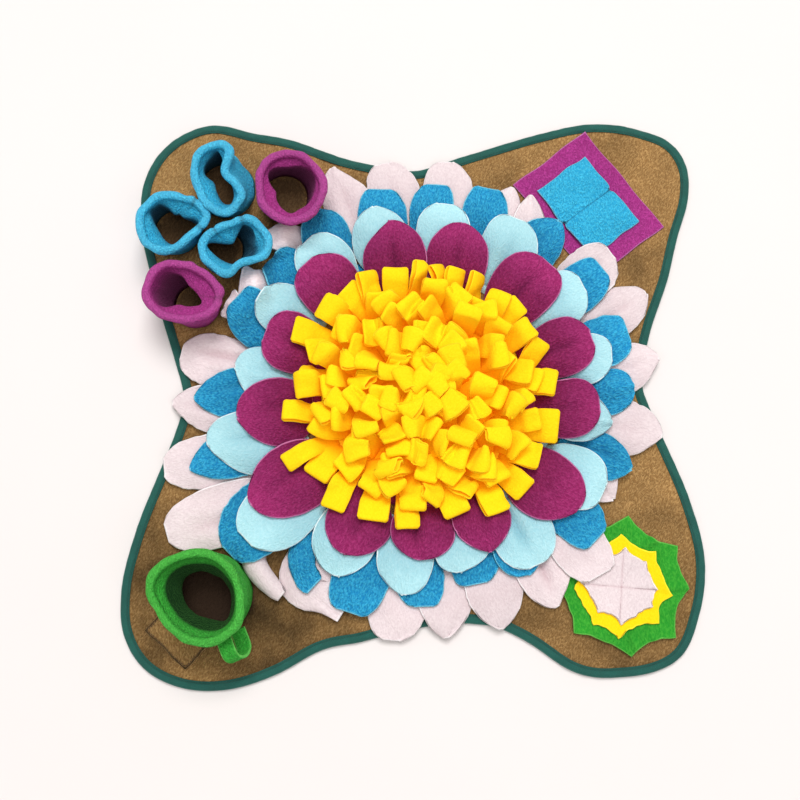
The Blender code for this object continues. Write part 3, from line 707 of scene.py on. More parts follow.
class ClothMesh:
    """Closed sheets of one cloth, gathered into one object with their pattern and marks."""

    def __init__(self) -> None:
        """Start without any sheet."""
        self.points: list[Array] = []
        self.faces: list[tuple[int, ...]] = []
        # edge carries painted highlight, fold painted shade, tone a random shade with some painted light
        self.marks: dict[str, list[Array]] = {"cloth": [], "edge": [], "tone": [], "fold": []}
        self.count = 0

    def add(self, points: Array, faces: Iterable[Sequence[int]], cloth: Array,
            edge: Array | float = 0, tone: Array | float = 0,
            fold: Array | float = 0) -> None:
        """Add one closed piece.

        Args:
            points: Its points.
            faces: Its faces, pointing outwards.
            cloth: Each point's place on the flat cloth.
            edge: How much painted highlight each point takes on a cut edge.
            tone: The piece's shade, from -1 to 1, at all points or at each: a random tone, with painted light and
                shade on some pieces.
            fold: How deep each point lies in painted shade, inside folds and hollows.
        """
        total = len(points)
        faces = [tuple(face) for face in faces]
        if self.volume(points, faces) < 0:
            faces = [tuple(reversed(face)) for face in faces]
        self.faces += [tuple(corner + self.count for corner in face) for face in faces]
        self.points.append(points)
        self.marks["cloth"].append(cloth)
        for name, value in (("edge", edge), ("tone", tone), ("fold", fold)):
            self.marks[name].append(np.broadcast_to(np.asarray(value, float), (total,)))
        self.count += total

    @staticmethod
    def volume(points: Array, faces: list[tuple[int, ...]]) -> float:
        """Measure the space inside a closed piece, below 0 where its faces point inwards.

        Args:
            points: Its points.
            faces: Its faces.

        Returns:
            The volume.
        """
        fans = np.array([(face[0], a, b) for face in faces for a, b in zip(face[1:], face[2:])])
        first, second, third = points[fans[:, 0]], points[fans[:, 1]], points[fans[:, 2]]
        return float(np.einsum("ij,ij->", first, np.cross(second, third)) / 6)

    def add_sheet(self, lower: Array, faces: list[tuple[int, ...]], rim: list[int], cloth: Array,
                  normal: Array, thick: float = FLEECE, tone: float = 0,
                  fold: Array | float = 0) -> Array:
        """Give a sheet its thickness and a rounded cut edge, and add it.

        Args:
            lower: The points of its lower face.
            faces: Its lower face, anticlockwise from above.
            rim: Its border points, anticlockwise from above.
            cloth: Each point's place on the flat cloth.
            normal: The upward normal at each point.
            thick: The sheet's thickness.
            tone: The piece's shade: a random tone, with painted light on some pieces.
            fold: How deep each point lies in painted shade inside a fold.

        Returns:
            The points of the upper face.
        """
        count = len(lower)
        upper = lower + normal * thick
        ring = lower[rim]
        along = np.roll(ring, -1, axis=0) - np.roll(ring, 1, axis=0)
        out = unit(np.cross(along, normal[rim]))
        lower = lower.copy()
        lower[rim] = lower[rim] - out * 0.25 * thick
        brow = upper.copy()
        brow[rim] = brow[rim] - out * 0.25 * thick
        middle = (lower[rim] + brow[rim]) / 2 + out * 0.5 * thick
        points = np.vstack((lower, brow, middle))
        shell = [tuple(reversed(face)) for face in faces]
        shell += [tuple(corner + count for corner in face) for face in faces]
        for k, corner in enumerate(rim):
            after = rim[(k + 1) % len(rim)]
            here, there = 2 * count + k, 2 * count + (k + 1) % len(rim)
            shell.append((corner, after, there, here))
            shell.append((here, there, after + count, corner + count))
        # painted highlight on the rounded cut edge, strongest on its middle ring
        edge = np.zeros(len(points))
        edge[rim] = 0.5
        edge[np.array(rim) + count] = 0.75
        edge[2 * count:] = 1
        depth = np.broadcast_to(np.asarray(fold, float), (count,))
        marks = np.concatenate((depth, depth, depth[rim]))
        self.add(points, shell, np.vstack((cloth, cloth, cloth[rim])), edge, tone, marks)
        return upper

    def build(self, name: str, material: bpy.types.Material) -> Thing:
        """Make the gathered pieces one object in the scene.

        Args:
            name: The object's name.
            material: Its material.

        Returns:
            The object.
        """
        mesh = bpy.data.meshes.new(name)
        mesh.from_pydata((np.vstack(self.points) * MM).tolist(), [], self.faces)
        for mark, values in self.marks.items():
            kind, part = ("FLOAT_VECTOR", "vector") if mark == "cloth" else ("FLOAT", "value")
            data = np.concatenate(values).astype(np.float32).ravel()
            mesh.attributes.new(mark, kind, "POINT").data.foreach_set(part, data)
        mesh.shade_smooth()
        mesh.materials.append(material)
        return in_scene(name, mesh)


def dress(piece: Thing, slot: Slot, *nodes: str) -> Thing:
    """Tie a finished piece to the frame.

    Args:
        piece: The piece.
        slot: The slot that its finish belongs to; not used.
        nodes: The frame's nodes that it stands for.

    Returns:
        The piece.
    """
    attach(piece, BODY)
    if nodes:
        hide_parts(*nodes)
    return piece


def cloth_plane(grid: Array, layer: float) -> Array:
    """Use points' x and y as their place on the cloth, on a level of its own."""
    flat = grid.reshape(-1, 3)
    return np.column_stack((flat[:, 0], flat[:, 1], np.full(len(flat), layer)))


def cloth_strip(across: Array, along: Array, layer: float) -> Array:
    """Use the places across and along a strip as its points' places on the cloth, on a level of its own."""
    across, along = np.broadcast_arrays(across, along[:, None])
    return np.dstack((across, along, np.full(across.shape, layer)))


# ---- stitches
@dataclass
class StitchRun:
    """Machine stitches along paths, made by Geometry Nodes."""

    thread: Thread
    pitch: float = 3.4     # distance from stitch to stitch
    length: float = 2.7    # length of a stitch
    radius: float = 0.32   # the thread's radius
    seed: int = 3
    uneven: float = 0.08   # how far a stitch's length may differ, as a share
    paths: list[tuple[Array, bool]] = field(default_factory=list)

    def along(self, path: Array, closed: bool = False) -> None:
        """Add a path of points for the stitches to follow."""
        self.paths.append((path, closed))

    def tree(self) -> tuple[bpy.types.NodeTree, dict[str, str]]:
        """Build the node tree.

        Returns:
            The tree, and the identifier of each named input.
        """
        group = bpy.data.node_groups.new(f"stitches_{self.thread.name}", "GeometryNodeTree")
        face, names = group.interface, {}
        for name in ("Path", "Pitch", "Stitch length", "Thread radius", "Unevenness", "Seed"):
            kind = {"Path": "Geometry", "Seed": "Int"}.get(name, "Float")
            names[name] = face.new_socket(name, in_out="INPUT", socket_type=f"NodeSocket{kind}").identifier
        face.new_socket("Stitches", in_out="OUTPUT", socket_type="NodeSocketGeometry")
        wires = Wiring(group)
        given = wires.add("NodeGroupInput").outputs
        curve = wires.add("GeometryNodeMeshToCurve", {0: given["Path"]})
        spaced = wires.add("GeometryNodeResampleCurve", {"Curve": curve, "Length": given["Pitch"]}, mode="LENGTH")
        uneven = given["Unevenness"]
        draw = wires.add("FunctionNodeRandomValue", {
            2: wires.maths("SUBTRACT", 1, uneven), 3: wires.maths("ADD", 1, uneven), "Seed": given["Seed"]},
            data_type="FLOAT").outputs[1]
        half = wires.maths("MULTIPLY", given["Stitch length"], 0.5)
        size = wires.add("ShaderNodeCombineXYZ", {
            0: wires.maths("MULTIPLY", half, draw), 1: given["Thread radius"], 2: given["Thread radius"]})
        tangent = wires.add("GeometryNodeInputTangent")
        turn = wires.add("FunctionNodeAlignRotationToVector", {"Vector": tangent}, axis="X")
        bead = wires.add("GeometryNodeMeshUVSphere", {"Segments": 8, "Rings": 6, "Radius": 1})
        place = wires.add("GeometryNodeInstanceOnPoints", {
            "Points": spaced, "Instance": bead, "Rotation": turn, "Scale": size})
        real = wires.add("GeometryNodeRealizeInstances", {0: place})
        paint = wires.add("GeometryNodeSetMaterial", {"Geometry": real, "Material": self.thread.material()})
        wires.add("NodeGroupOutput", {0: paint})
        return group, names

    def build(self, name: str, slot: Slot) -> Thing:
        """Run the stitches along every path.

        Args:
            name: The object's name.
            slot: The slot of the cloth that they sew.

        Returns:
            The stitches as one plain mesh object.
        """
        points: list[list[float]] = []
        edges: list[tuple[int, int]] = []
        for path, closed in self.paths:
            start = len(points)
            points += (path * MM).tolist()
            edges += [(start + k, start + k + 1) for k in range(len(path) - 1)]
            if closed:
                edges.append((start + len(path) - 1, start))
        guide = bpy.data.meshes.new(name + "_guide")
        guide.from_pydata(points, edges, [])
        host = in_scene(name + "_guide", guide)
        group, names = self.tree()
        modifier = host.modifiers.new("stitches", "NODES")
        modifier.node_group = group
        sizes = {"Pitch": self.pitch * MM, "Stitch length": self.length * MM, "Thread radius": self.radius * MM,
                 "Unevenness": self.uneven, "Seed": self.seed}
        for key, value in sizes.items():
            modifier[names[key]] = value
        depsgraph = bpy.context.evaluated_depsgraph_get()
        mesh = bpy.data.meshes.new_from_object(host.evaluated_get(depsgraph))
        mesh.name = name
        mesh.shade_smooth()
        host.modifiers.remove(modifier)
        bpy.data.objects.remove(host, do_unlink=True)
        return dress(in_scene(name, mesh), slot)


# ---- the mat and its binding
@dataclass
class BaseMat:
    """The two-layer mat, softly uneven where nothing is sewn on it."""

    shaded: Rows = ()          # x, y and radius of the cups' feet, whose wells get painted shade
    stations: int = 320
    rings: int = 46
    inset: float = 1.8
    wave: float = 3.0          # height of the swell
    lumps: tuple[float, float] = (-0.6, 5.5)  # lowest and highest unevenness
    calm: float = 22.0         # distance over which a sewn piece quiets the swell
    grain: float = 28.0        # bearing of the nap
    wide_foot: float = 36.0    # a cup with a wider foot gets darker painted shade inside
    painted_light_spots: Rows = (
        # spots of painted shade and light: x, y, radius, how much lighter
        (-152, -238, 60, -4.8), (-124, -246, 26, 2.2), (-205, -304, 48, 2), (262, 140, 48, -2.4), (80, 250, 45, -1.4),
        (-60, 250, 40, -1), (-262, -60, 50, 0.4), (-280, -190, 60, -2.8), (190, -238, 42, -3), (272, -282, 50, -1.6),
        (268, -40, 40, 0.8),
    )
    troughs: Rows = (
        # bearing and reach of the start, bearing it runs to, length, width, height
        (40, 270, 62, 80, 11, -1.6), (36, 300, 40, 70, 16, 1.8), (50, 285, 75, 60, 12, 1.5),
        (131, 285, 150, 60, 12, 1.6), (126, 300, 118, 60, 10, -1.4), (214, 300, 190, 60, 14, 1.6),
        (232, 300, 250, 60, 16, -0.5), (236, 330, 222, 60, 12, 1.5), (306, 290, 290, 60, 12, 1.6),
        (322, 300, 352, 70, 14, 1.8), (330, 290, 10, 60, 10, -1.5), (314, 330, 300, 50, 9, 1.3),
    )

    def build(self, heap: Heap) -> Thing:
        """Make the mat once everything that lies on it has taken its place.

        Args:
            heap: The laid pieces.

        Returns:
            The mat.
        """
        outline = mat_outline(self.stations)
        edge = outline + inward(outline) * self.inset
        shares = 1 - (np.arange(self.rings) / self.rings) ** 0.9
        top = edge[None] * shares[:, None, None]
        near = Heap()
        near.taken = heap.busy(self.calm)
        quiet = 1 - near.height(top)
        for x, y, radius in self.shaded:
            quiet = quiet * ease(away(top, x, y) - radius, 3, 20)
        brim = ease(np.linalg.norm(outline[None] - top, axis=2), 10, 34)
        swell = Ripple(5, 62).at(top[..., 0], top[..., 1]) + 0.45 * Ripple(6, 27).at(top[..., 0], top[..., 1])
        rise = (self.wave * (swell + 0.6) + 2.1 * self.folds(top)) * quiet * brim
        upper = np.dstack((top, MAT_TOP + np.clip(rise, *self.lumps)))
        lower = np.dstack((top[::-1], np.zeros(top.shape[:2])))
        rows = np.concatenate((upper.reshape(-1, 3), lower.reshape(-1, 3)))
        count = self.stations
        faces = [tuple(reversed(face)) for face in tube_faces(2 * self.rings, count, closed=False)
                 if not self.rings * count > face[0] >= (self.rings - 1) * count]
        centre_up, centre_down = len(rows), len(rows) + 1
        rows = np.vstack((rows, (0, 0, MAT_TOP), (0, 0, 0)))
        inner_up, inner_down = (self.rings - 1) * count, self.rings * count
        rim_down = (2 * self.rings - 1) * count
        for k in range(count):
            after = (k + 1) % count
            faces += [(centre_up, inner_up + k, inner_up + after), (centre_down, inner_down + after, inner_down + k),
                      (rim_down + k, rim_down + after, after, k)]
        mesh = ClothMesh()
        x, y = rows[:, 0], rows[:, 1]
        c, s = toward(self.grain)
        cloth = np.column_stack((x * c - y * s, x * s + y * c, rows[:, 2]))
        # painted shade on the mat inside each cup's well
        deep = np.zeros(len(rows))
        for x, y, radius in self.shaded:
            dark = 0.98 if radius > self.wide_foot else 0.78
            deep = np.maximum(deep, dark * ease(radius + 3 - away(rows, x, y), 0, 8))
        x, y = rows[:, 0], rows[:, 1]
        # painted light and shade: lighter towards the upper right, darker towards the lower left, with a random
        # mottle
        mottle_and_painted_light = 2.6 * np.clip((y + 0.35 * x + 40) / 260, -1, 0.2) + 0.7 * Ripple(8, 90).at(x, y)
        # painted light on the ridges and painted shade in the troughs, shifted a little to one side
        mottle_and_painted_light = mottle_and_painted_light + 0.7 * self.folds(rows + (6, -6, 0))
        # spots of painted shade and light
        for x, y, radius, tone in self.painted_light_spots:
            mottle_and_painted_light = mottle_and_painted_light + tone * np.exp(-(away(rows, x, y) / radius) ** 2)
        mesh.add(rows, faces, cloth, tone=mottle_and_painted_light, fold=deep)
        mat = dress(mesh.build("mat_fleece", BROWN.material()), Slot.BROWN, "base_mat")
        return mat

    def folds(self, points: Array) -> Array:
        """Add up the troughs and ridges that the sewing pulls into the mat."""
        x, y = points[..., 0], points[..., 1]
        return ridges(self.troughs, x, y, np.zeros_like(x), (-0.5, 0.1), (0.5, 1.1), slant=0.06)


@dataclass
class EdgeBinding:
    """The tape folded over the mat's edge and stitched through."""

    stations: int = 640
    width: float = 10.0
    thick: float = 1.2
    pucker: float = 0.55
    join_at: float = 108.0

    def build(self) -> Thing:
        """Make the tape with its puckers and its lapped join.

        Returns:
            The tape.
        """
        outline = mat_outline(self.stations)
        normal = inward(outline)
        lid, top = SEAT, SEAT + self.thick
        fold = BaseMat.inset - GAP
        profile = np.array((
            # inset, height
            (self.width, 0), (5, 0), (1.2, 0.15), (0.25, 1.1), (0, lid / 2), (0.3, lid - 0.1),
            (1.2, lid + 0.75), (2.6, top - 0.08), (4.4, top + 0.12), (6.4, top + 0.05), (8, top - 0.35),
            (9.3, top - 0.30), (self.width + 0.1, top - 0.55), (self.width, lid), (fold, lid),
            (fold, self.thick), (self.width, self.thick)))
        upper = slice(5, 13)  # the profile's rows on the upper side
        run = run_along(outline)
        wave, fine = Ripple(8, 17), Ripple(9, 7)
        rows, cloth = [], []
        for row, (inset, height) in enumerate(profile):
            level = np.full(len(outline), height)
            if upper.start <= row < upper.stop:
                soft = self.pucker * (wave.at(run, inset * 2) + 0.8 * ease(inset, 2, 8) * fine.at(run, inset))
                level = level + np.clip(soft, -0.3, 0.5) + self.join(outline, run, inset)
            rows.append(np.column_stack((outline + normal * inset, level)))
            cloth.append(np.column_stack((run, np.full(len(run), row * 1.9), np.zeros(len(run)))))
        edge, shade = np.zeros((2, len(profile), self.stations))
        # painted highlight on the tape's outer fold
        edge[4:6] = 0.35
        # painted shade in the groove at the stitches, at the inner edge and along the lapped join
        shade[10], shade[12] = 0.75, 0.6
        shade[upper] = np.maximum(shade[upper], 0.9 * np.exp(-(self.past(outline, run, 5) / 1.3) ** 2))
        mesh = ClothMesh()
        faces = [tuple(reversed(face)) for face in tube_faces(len(profile), self.stations)]
        mesh.add(np.vstack(rows), faces, np.vstack(cloth), edge.ravel(), 0, shade.ravel())
        tape = dress(mesh.build("binding_tape", TEAL.material()), Slot.TEAL, "edge_binding")
        return tape

    def join(self, outline: Array, run: Array, inset: float) -> Array:
        """Give the extra height of the lapped join, which runs a little slantwise over the tape."""
        past = self.past(outline, run, inset)
        return 1.1 * ease(past, -0.6, 0.6) * (1 - ease(past, 14, 30))

    def past(self, outline: Array, run: Array, inset: float) -> Array:
        """Measure how far each station lies past the slantwise join.

        Args:
            outline: The stations along the mat's edge.
            run: How far along the edge each one lies.
            inset: How far inside the edge to measure.

        Returns:
            The distances, below 0 before the join.
        """
        bearing = np.degrees(np.arctan2(outline[:, 1], outline[:, 0])) % 360
        place = run[int(np.argmin(np.abs(bearing - self.join_at)))]
        return run - place + 0.5 * inset

    def stitches(self) -> Thing:
        """Sew the tape down just outside its inner edge.

        Returns:
            The stitches.
        """
        outline = mat_outline(self.stations)
        path = outline + inward(outline) * 8.1
        run = StitchRun(Thread("binding", srgb(20, 84, 74)), pitch=3.2, length=2.7, radius=0.3)
        run.along(np.column_stack((path, np.full(len(path), SEAT + self.thick - 0.12))), closed=True)
        return run.build("binding_stitches", Slot.TEAL)


# ---- flat sewn pieces
@dataclass
class SewnSheet:
    """A rectangular sheet laid on what is under it."""

    name: str
    node: str
    cloth: Fleece
    centre: tuple[float, float]
    size: tuple[float, float]
    turn: float
    columns: int
    rows: int
    rests_on: str
    seed: int = 1
    wobble: float = 0.5
    swell: float = 0.5
    thread: Thread | None = None
    # how dark the painted shade along the cut edges is
    painted_edge_shading: float = 0.0

    def place(self, x: Any, y: Any) -> tuple[Array, Array]:
        """Turn a place on the sheet's own plane into the mat's x and y."""
        c, s = math.cos(math.radians(self.turn)), math.sin(math.radians(self.turn))
        return self.centre[0] + x * c - y * s, self.centre[1] + x * s + y * c

    def rise(self, u: Array, v: Array) -> Array:
        """Lift the sheet between its seams, with places from -1 to 1.

        Args:
            u: The places across the sheet.
            v: The places along it.

        Returns:
            The heights.
        """
        wave = Ripple(self.seed, 1.1)
        border = np.maximum(np.abs(u), np.abs(v))
        return SEAT + self.swell * (wave.at(u, v) + 0.8) * (0.4 + 0.6 * border)

    def shift(self, u: Array, v: Array) -> tuple[Array, Array]:
        """Waver the cut edges a little; u and v run from -1 to 1."""
        wave, other = Ripple(self.seed + 20, 0.8), Ripple(self.seed + 21, 0.8)
        return u * wave.at(v, u) * self.wobble, v * other.at(u, v) * self.wobble

    def spots(self, count: int) -> Array:
        """Space a row's points from -1 to 1, with one close to each cut edge."""
        return np.concatenate(([-1], np.linspace(-0.985, 0.985, count - 1), [1]))

    def lower(self, heap: Heap) -> Array:
        """Lay the lower face on the heap.

        Args:
            heap: The laid pieces.

        Returns:
            Rows of points.
        """
        u, v = np.meshgrid(self.spots(self.columns), self.spots(self.rows))
        du, dv = self.shift(u, v)
        x, y = self.place(u * self.size[0] / 2 + du, v * self.size[1] / 2 + dv)
        return heap.settle(np.dstack((x, y, self.rise(u, v))), GAP, rounds=10)

    def fold(self) -> Array:
        """Say how deep each point lies in the painted shade of the seam along the cut edges.

        Returns:
            The depths, from 0 to 1.
        """
        u, v = np.meshgrid(self.spots(self.columns), self.spots(self.rows))
        inset = np.minimum((1 - np.abs(u)) * self.size[0], (1 - np.abs(v)) * self.size[1]) / 2
        return (self.painted_edge_shading * np.exp(-(inset / 2.2) ** 2)).ravel()

    def build(self, heap: Heap) -> Thing:
        """Lay the sheet, give it its thickness and take its space.

        Args:
            heap: The laid pieces.

        Returns:
            The sheet.
        """
        grid = self.lower(heap)
        rows, columns = grid.shape[:2]
        normal = grid_normals(grid).reshape(-1, 3)
        mesh = ClothMesh()
        upper = mesh.add_sheet(grid.reshape(-1, 3), grid_faces(rows, columns), grid_rim(rows, columns),
                               cloth_plane(grid, 11 * self.seed), normal, fold=self.fold())
        heap.stamp(dense(upper.reshape(rows, columns, 3)))
        sheet = dress(mesh.build(self.name, self.cloth.material()), self.cloth.slot, self.node)
        if self.thread:
            run = StitchRun(self.thread, pitch=3, length=2.4, radius=0.28)
            path, closed = self.seam_line(upper.reshape(rows, columns, 3))
            run.along(path + (0, 0, 0.12), closed)
            report(run.build(f"{self.name}_stitches", self.cloth.slot))
        return sheet

    def seam_line(self, top: Array) -> tuple[Array, bool]:
        """Follow the seam just inside the cut edges on the sheet's upper face."""
        sides = (top[2, 2:-3], top[2:-3, -3], top[-3, -3:2:-1], top[-3:2:-1, 2])
        return np.concatenate(sides), True


@dataclass
class PuffedPanel(SewnSheet):
    """A panel sewn down along its middle and its ends, so that each half stands up a little."""

    arch: float = 6.0
    nip: float = 2.6

    def rise(self, u: Array, v: Array) -> Array:
        """Lift each half between the seams, with places from -1 to 1.

        Args:
            u: The places across the panel.
            v: The places along it.

        Returns:
            The heights.
        """
        base = MAT_TOP + FLEECE + 2 * GAP
        half = np.abs(np.sin(np.pi * u)) ** 0.75
        sag = Ripple(self.seed, 1.3).at(u, v)
        return base + self.arch * half * (1 - 0.5 * v * v) * (1 + 0.12 * sag)

    def shift(self, u: Array, v: Array) -> tuple[Array, Array]:
        """Waver the edges, and draw them in at the middle seam."""
        du, dv = super().shift(u, v)
        return du, dv - np.sign(v) * np.abs(v) ** 4 * self.nip * np.exp(-(u / 0.07) ** 2)

    def spots(self, count: int) -> Array:
        """Space a row's points, closer together at the middle seam.

        Args:
            count: How many points.

        Returns:
            Their places, from -1 to 1.
        """
        even = np.linspace(-0.985, 0.985, count - 1)
        drawn = even * (0.35 + 0.65 * np.abs(even) ** 0.8)
        return np.concatenate(([-1], drawn, [1]))

    def seam_line(self, top: Array) -> tuple[Array, bool]:
        """Follow the middle seam on the panel's upper face."""
        middle = top.shape[1] // 2
        return (top[1:-1, middle - 1] + top[1:-1, middle]) / 2, False

    def fold(self) -> Array:
        """Paint shade along the middle seam's valley."""
        u, _ = np.meshgrid(self.spots(self.columns), self.spots(self.rows))
        return (0.85 * np.exp(-(u / 0.022) ** 2)).ravel()


@dataclass
class StarLayer:
    """One layer of the star: soft points with hollow sides round its own outline."""

    name: str
    node: str
    cloth: Fleece
    lift: float
    outline: Rows
    rests_on: str
    creases: Rows = ()
    quarters: float = 0.0
    seam_turn: float = 0.0
    centre: tuple[float, float] = (218, -207)
    stations: int = 160
    rings: int = 22
    seed: int = 1

    def reach(self, bearings: Array) -> Array:
        """Read the outline's reach at each bearing, nearly straight from corner to corner.

        Args:
            bearings: The bearings to read at.

        Returns:
            The reaches.
        """
        rows = sorted((bearing % 360, reach) for bearing, reach in self.outline)
        knots = np.array([(b - 360, r) for b, r in rows] + rows + [(b + 360, r) for b, r in rows])
        corners = polar((0, 0), knots[:, 0], knots[:, 1])
        at = np.searchsorted(knots[:, 0], bearings % 360, side="right") - 1
        a, b = corners[at], corners[at + 1]
        way = toward(bearings)
        side = b - a
        cross = way[:, 0] * side[:, 1] - way[:, 1] * side[:, 0]
        straight = (a[:, 0] * side[:, 1] - a[:, 1] * side[:, 0]) / cross
        share = (bearings % 360 - knots[at, 0]) / (knots[at + 1, 0] - knots[at, 0])
        return straight - 1.4 * np.sin(np.pi * share)

    def build(self, heap: Heap) -> Thing:
        """Lay the layer, crease it and take its space.

        Args:
            heap: The laid pieces.

        Returns:
            The layer.
        """
        bearings = self.bearings()
        shares = np.concatenate((np.linspace(0.06, 0.97, self.rings - 2), [0.985, 1]))
        reach = self.reach(bearings)
        reach = reach + 0.5 * Ripple(self.seed, 14).at(bearings * 1.1, 0)
        flat = polar((0, 0), bearings[None], reach[None] * shares[:, None])
        x, y = flat[..., 0], flat[..., 1]
        z = SEAT + self.lift * ease(shares, 0.5, 1)[:, None] + self.rise(x, y)
        grid = np.dstack((x + self.centre[0], y + self.centre[1], z))
        hub = grid[0].mean(axis=0)
        wrapped = np.concatenate((grid[:, -12:], grid, grid[:, :12]), axis=1)
        lift = (heap.settle(wrapped, GAP, rounds=8) - wrapped)[..., 2]
        lift = np.maximum.reduce([np.roll(lift, step, axis=1) for step in range(-3, 4)])
        lift = sum(np.roll(lift, step, axis=1) for step in range(-4, 5)) / 9
        grid[..., 2] += lift[:, 12:-12]
        normal = -grid_normals(np.concatenate((grid[:, -1:], grid, grid[:, :1]), axis=1))[:, 1:-1]
        hub[2] = grid[0, :, 2].mean()
        count = self.stations
        points = np.vstack((grid.reshape(-1, 3), hub))
        normals = np.vstack((normal.reshape(-1, 3), (0, 0, 1)))
        mesh = ClothMesh()
        # painted shade along the crossed seams and at the hub where they meet
        depth = np.append(self.seam(x, y).ravel(), 0.6 if self.quarters else 0)
        upper = mesh.add_sheet(points, *disc_faces(self.rings, count), cloth_plane(points, 31 * self.seed), normals,
                               fold=depth)
        heap.stamp(dense(upper[:-1].reshape(self.rings, count, 3)))
        layer = dress(mesh.build(self.name, self.cloth.material()), self.cloth.slot, self.node)
        return layer

    def bearings(self) -> Array:
        """List the bearings of the layer's stations, with one on each corner of the outline.

        Returns:
            The bearings, rising.
        """
        even = np.arange(self.stations) * 360 / self.stations
        for corner, _ in self.outline:
            near = int(np.argmin(np.abs((even - corner + 180) % 360 - 180)))
            even[near] = even[near] + (corner - even[near] + 180) % 360 - 180
        return np.sort(even % 360)

    def across(self, x: Array, y: Array) -> Array:
        """Measure the distance to the nearer of the crossed seams.

        Args:
            x: The places along X from the star's centre.
            y: The places along Y.

        Returns:
            The distances.
        """
        turn = math.radians(self.seam_turn)
        first = np.abs(-x * math.sin(turn) + y * math.cos(turn))
        second = np.abs(x * math.cos(turn) + y * math.sin(turn))
        return np.minimum(first, second)

    def rise(self, x: Array, y: Array) -> Array:
        """Lift the quarters between the seams and raise the creases.

        Args:
            x: The places along X from the star's centre.
            y: The places along Y.

        Returns:
            The heights to add to the layer.
        """
        height = 0.7 * (Ripple(self.seed + 40, 42).at(x, y) + 0.6)
        if self.quarters:
            height = height + self.quarters * (1 - np.exp(-self.across(x, y) / 6))
        return np.maximum(ridges(self.creases, x, y, height, (-0.3, 0.2), (0.8, 1.2)), 0)

    def seam(self, x: Array, y: Array) -> Array:
        """Say how deep each place lies in the painted shade of a crossed seam."""
        if not self.quarters:
            return np.zeros_like(x)
        return 0.3 * np.exp(-(self.across(x, y) / 1.4) ** 2)


# ---- petals
class Cut(Enum):
    """The shapes that petals are cut or pulled into: width along the length, as a share."""

    ROUND = ((0, 0.60), (0.15, 0.82), (0.32, 0.97), (0.46, 1), (0.62, 0.95), (0.76, 0.82), (0.87, 0.62),
             (0.94, 0.42), (0.98, 0.23), (1, 0.06))
    POINTED = ((0, 0.60), (0.15, 0.83), (0.32, 0.98), (0.44, 1), (0.60, 0.93), (0.74, 0.77), (0.86, 0.54),
               (0.94, 0.31), (0.98, 0.15), (1, 0.05))
    BLUNT = ((0, 0.58), (0.15, 0.80), (0.32, 0.94), (0.50, 1), (0.68, 0.97), (0.82, 0.85), (0.92, 0.66),
             (0.97, 0.48), (1, 0.30))
    FLAT = ((0, 0.58), (0.15, 0.80), (0.32, 0.93), (0.50, 1), (0.70, 0.97), (0.84, 0.87), (0.93, 0.73),
            (0.98, 0.60), (1, 0.46))
    SQUARE = ((0, 0.55), (0.2, 0.75), (0.4, 0.9), (0.6, 0.8), (0.75, 0.72), (0.9, 0.86), (0.97, 0.84), (1, 0.70))
    TAILED = ((0, 0.7), (0.2, 1.04), (0.42, 1.1), (0.6, 0.97), (0.74, 0.66), (0.84, 0.34), (0.94, 0.22), (1, 0.20))
    WAISTED = ((0, 0.5), (0.2, 0.66), (0.42, 0.74), (0.62, 0.66), (0.76, 0.62), (0.9, 0.62), (0.97, 0.58), (1, 0.46))


@dataclass(frozen=True)
class Petal:
    """How one petal differs from its ring: its cut, its pinch and how it rolls or folds."""

    cut: Cut = Cut.ROUND
    pinch: float = 0.0      # depth of the crease from its root
    pinch_at: float = 0.0   # where the crease lies across the petal, from -1 to 1
    roll: float = 0.0       # how far its sides bend round, in degrees
    bow: float = 0.0        # how far its middle bends sideways, as a share of its width
    tip: float = 0.0        # how far its tip curls up, or down if negative
    side: float = 0.0       # how much higher its left side is than its right
    skew: float = 0.0       # how much fuller its left shoulder is than its right
    ridge: float = 0.0      # height of a ridge along it, or depth of a trough if negative
    knee: tuple[float, float] | None = None  # bearing and reach that its middle is drawn towards
    late: bool = False      # whether it lies on its neighbours on both sides
    lift: float = 0.0       # how much higher its outer half stands
    tone: float = 0.0       # how much lighter it is painted than its neighbours, as painted light where the cups shade it
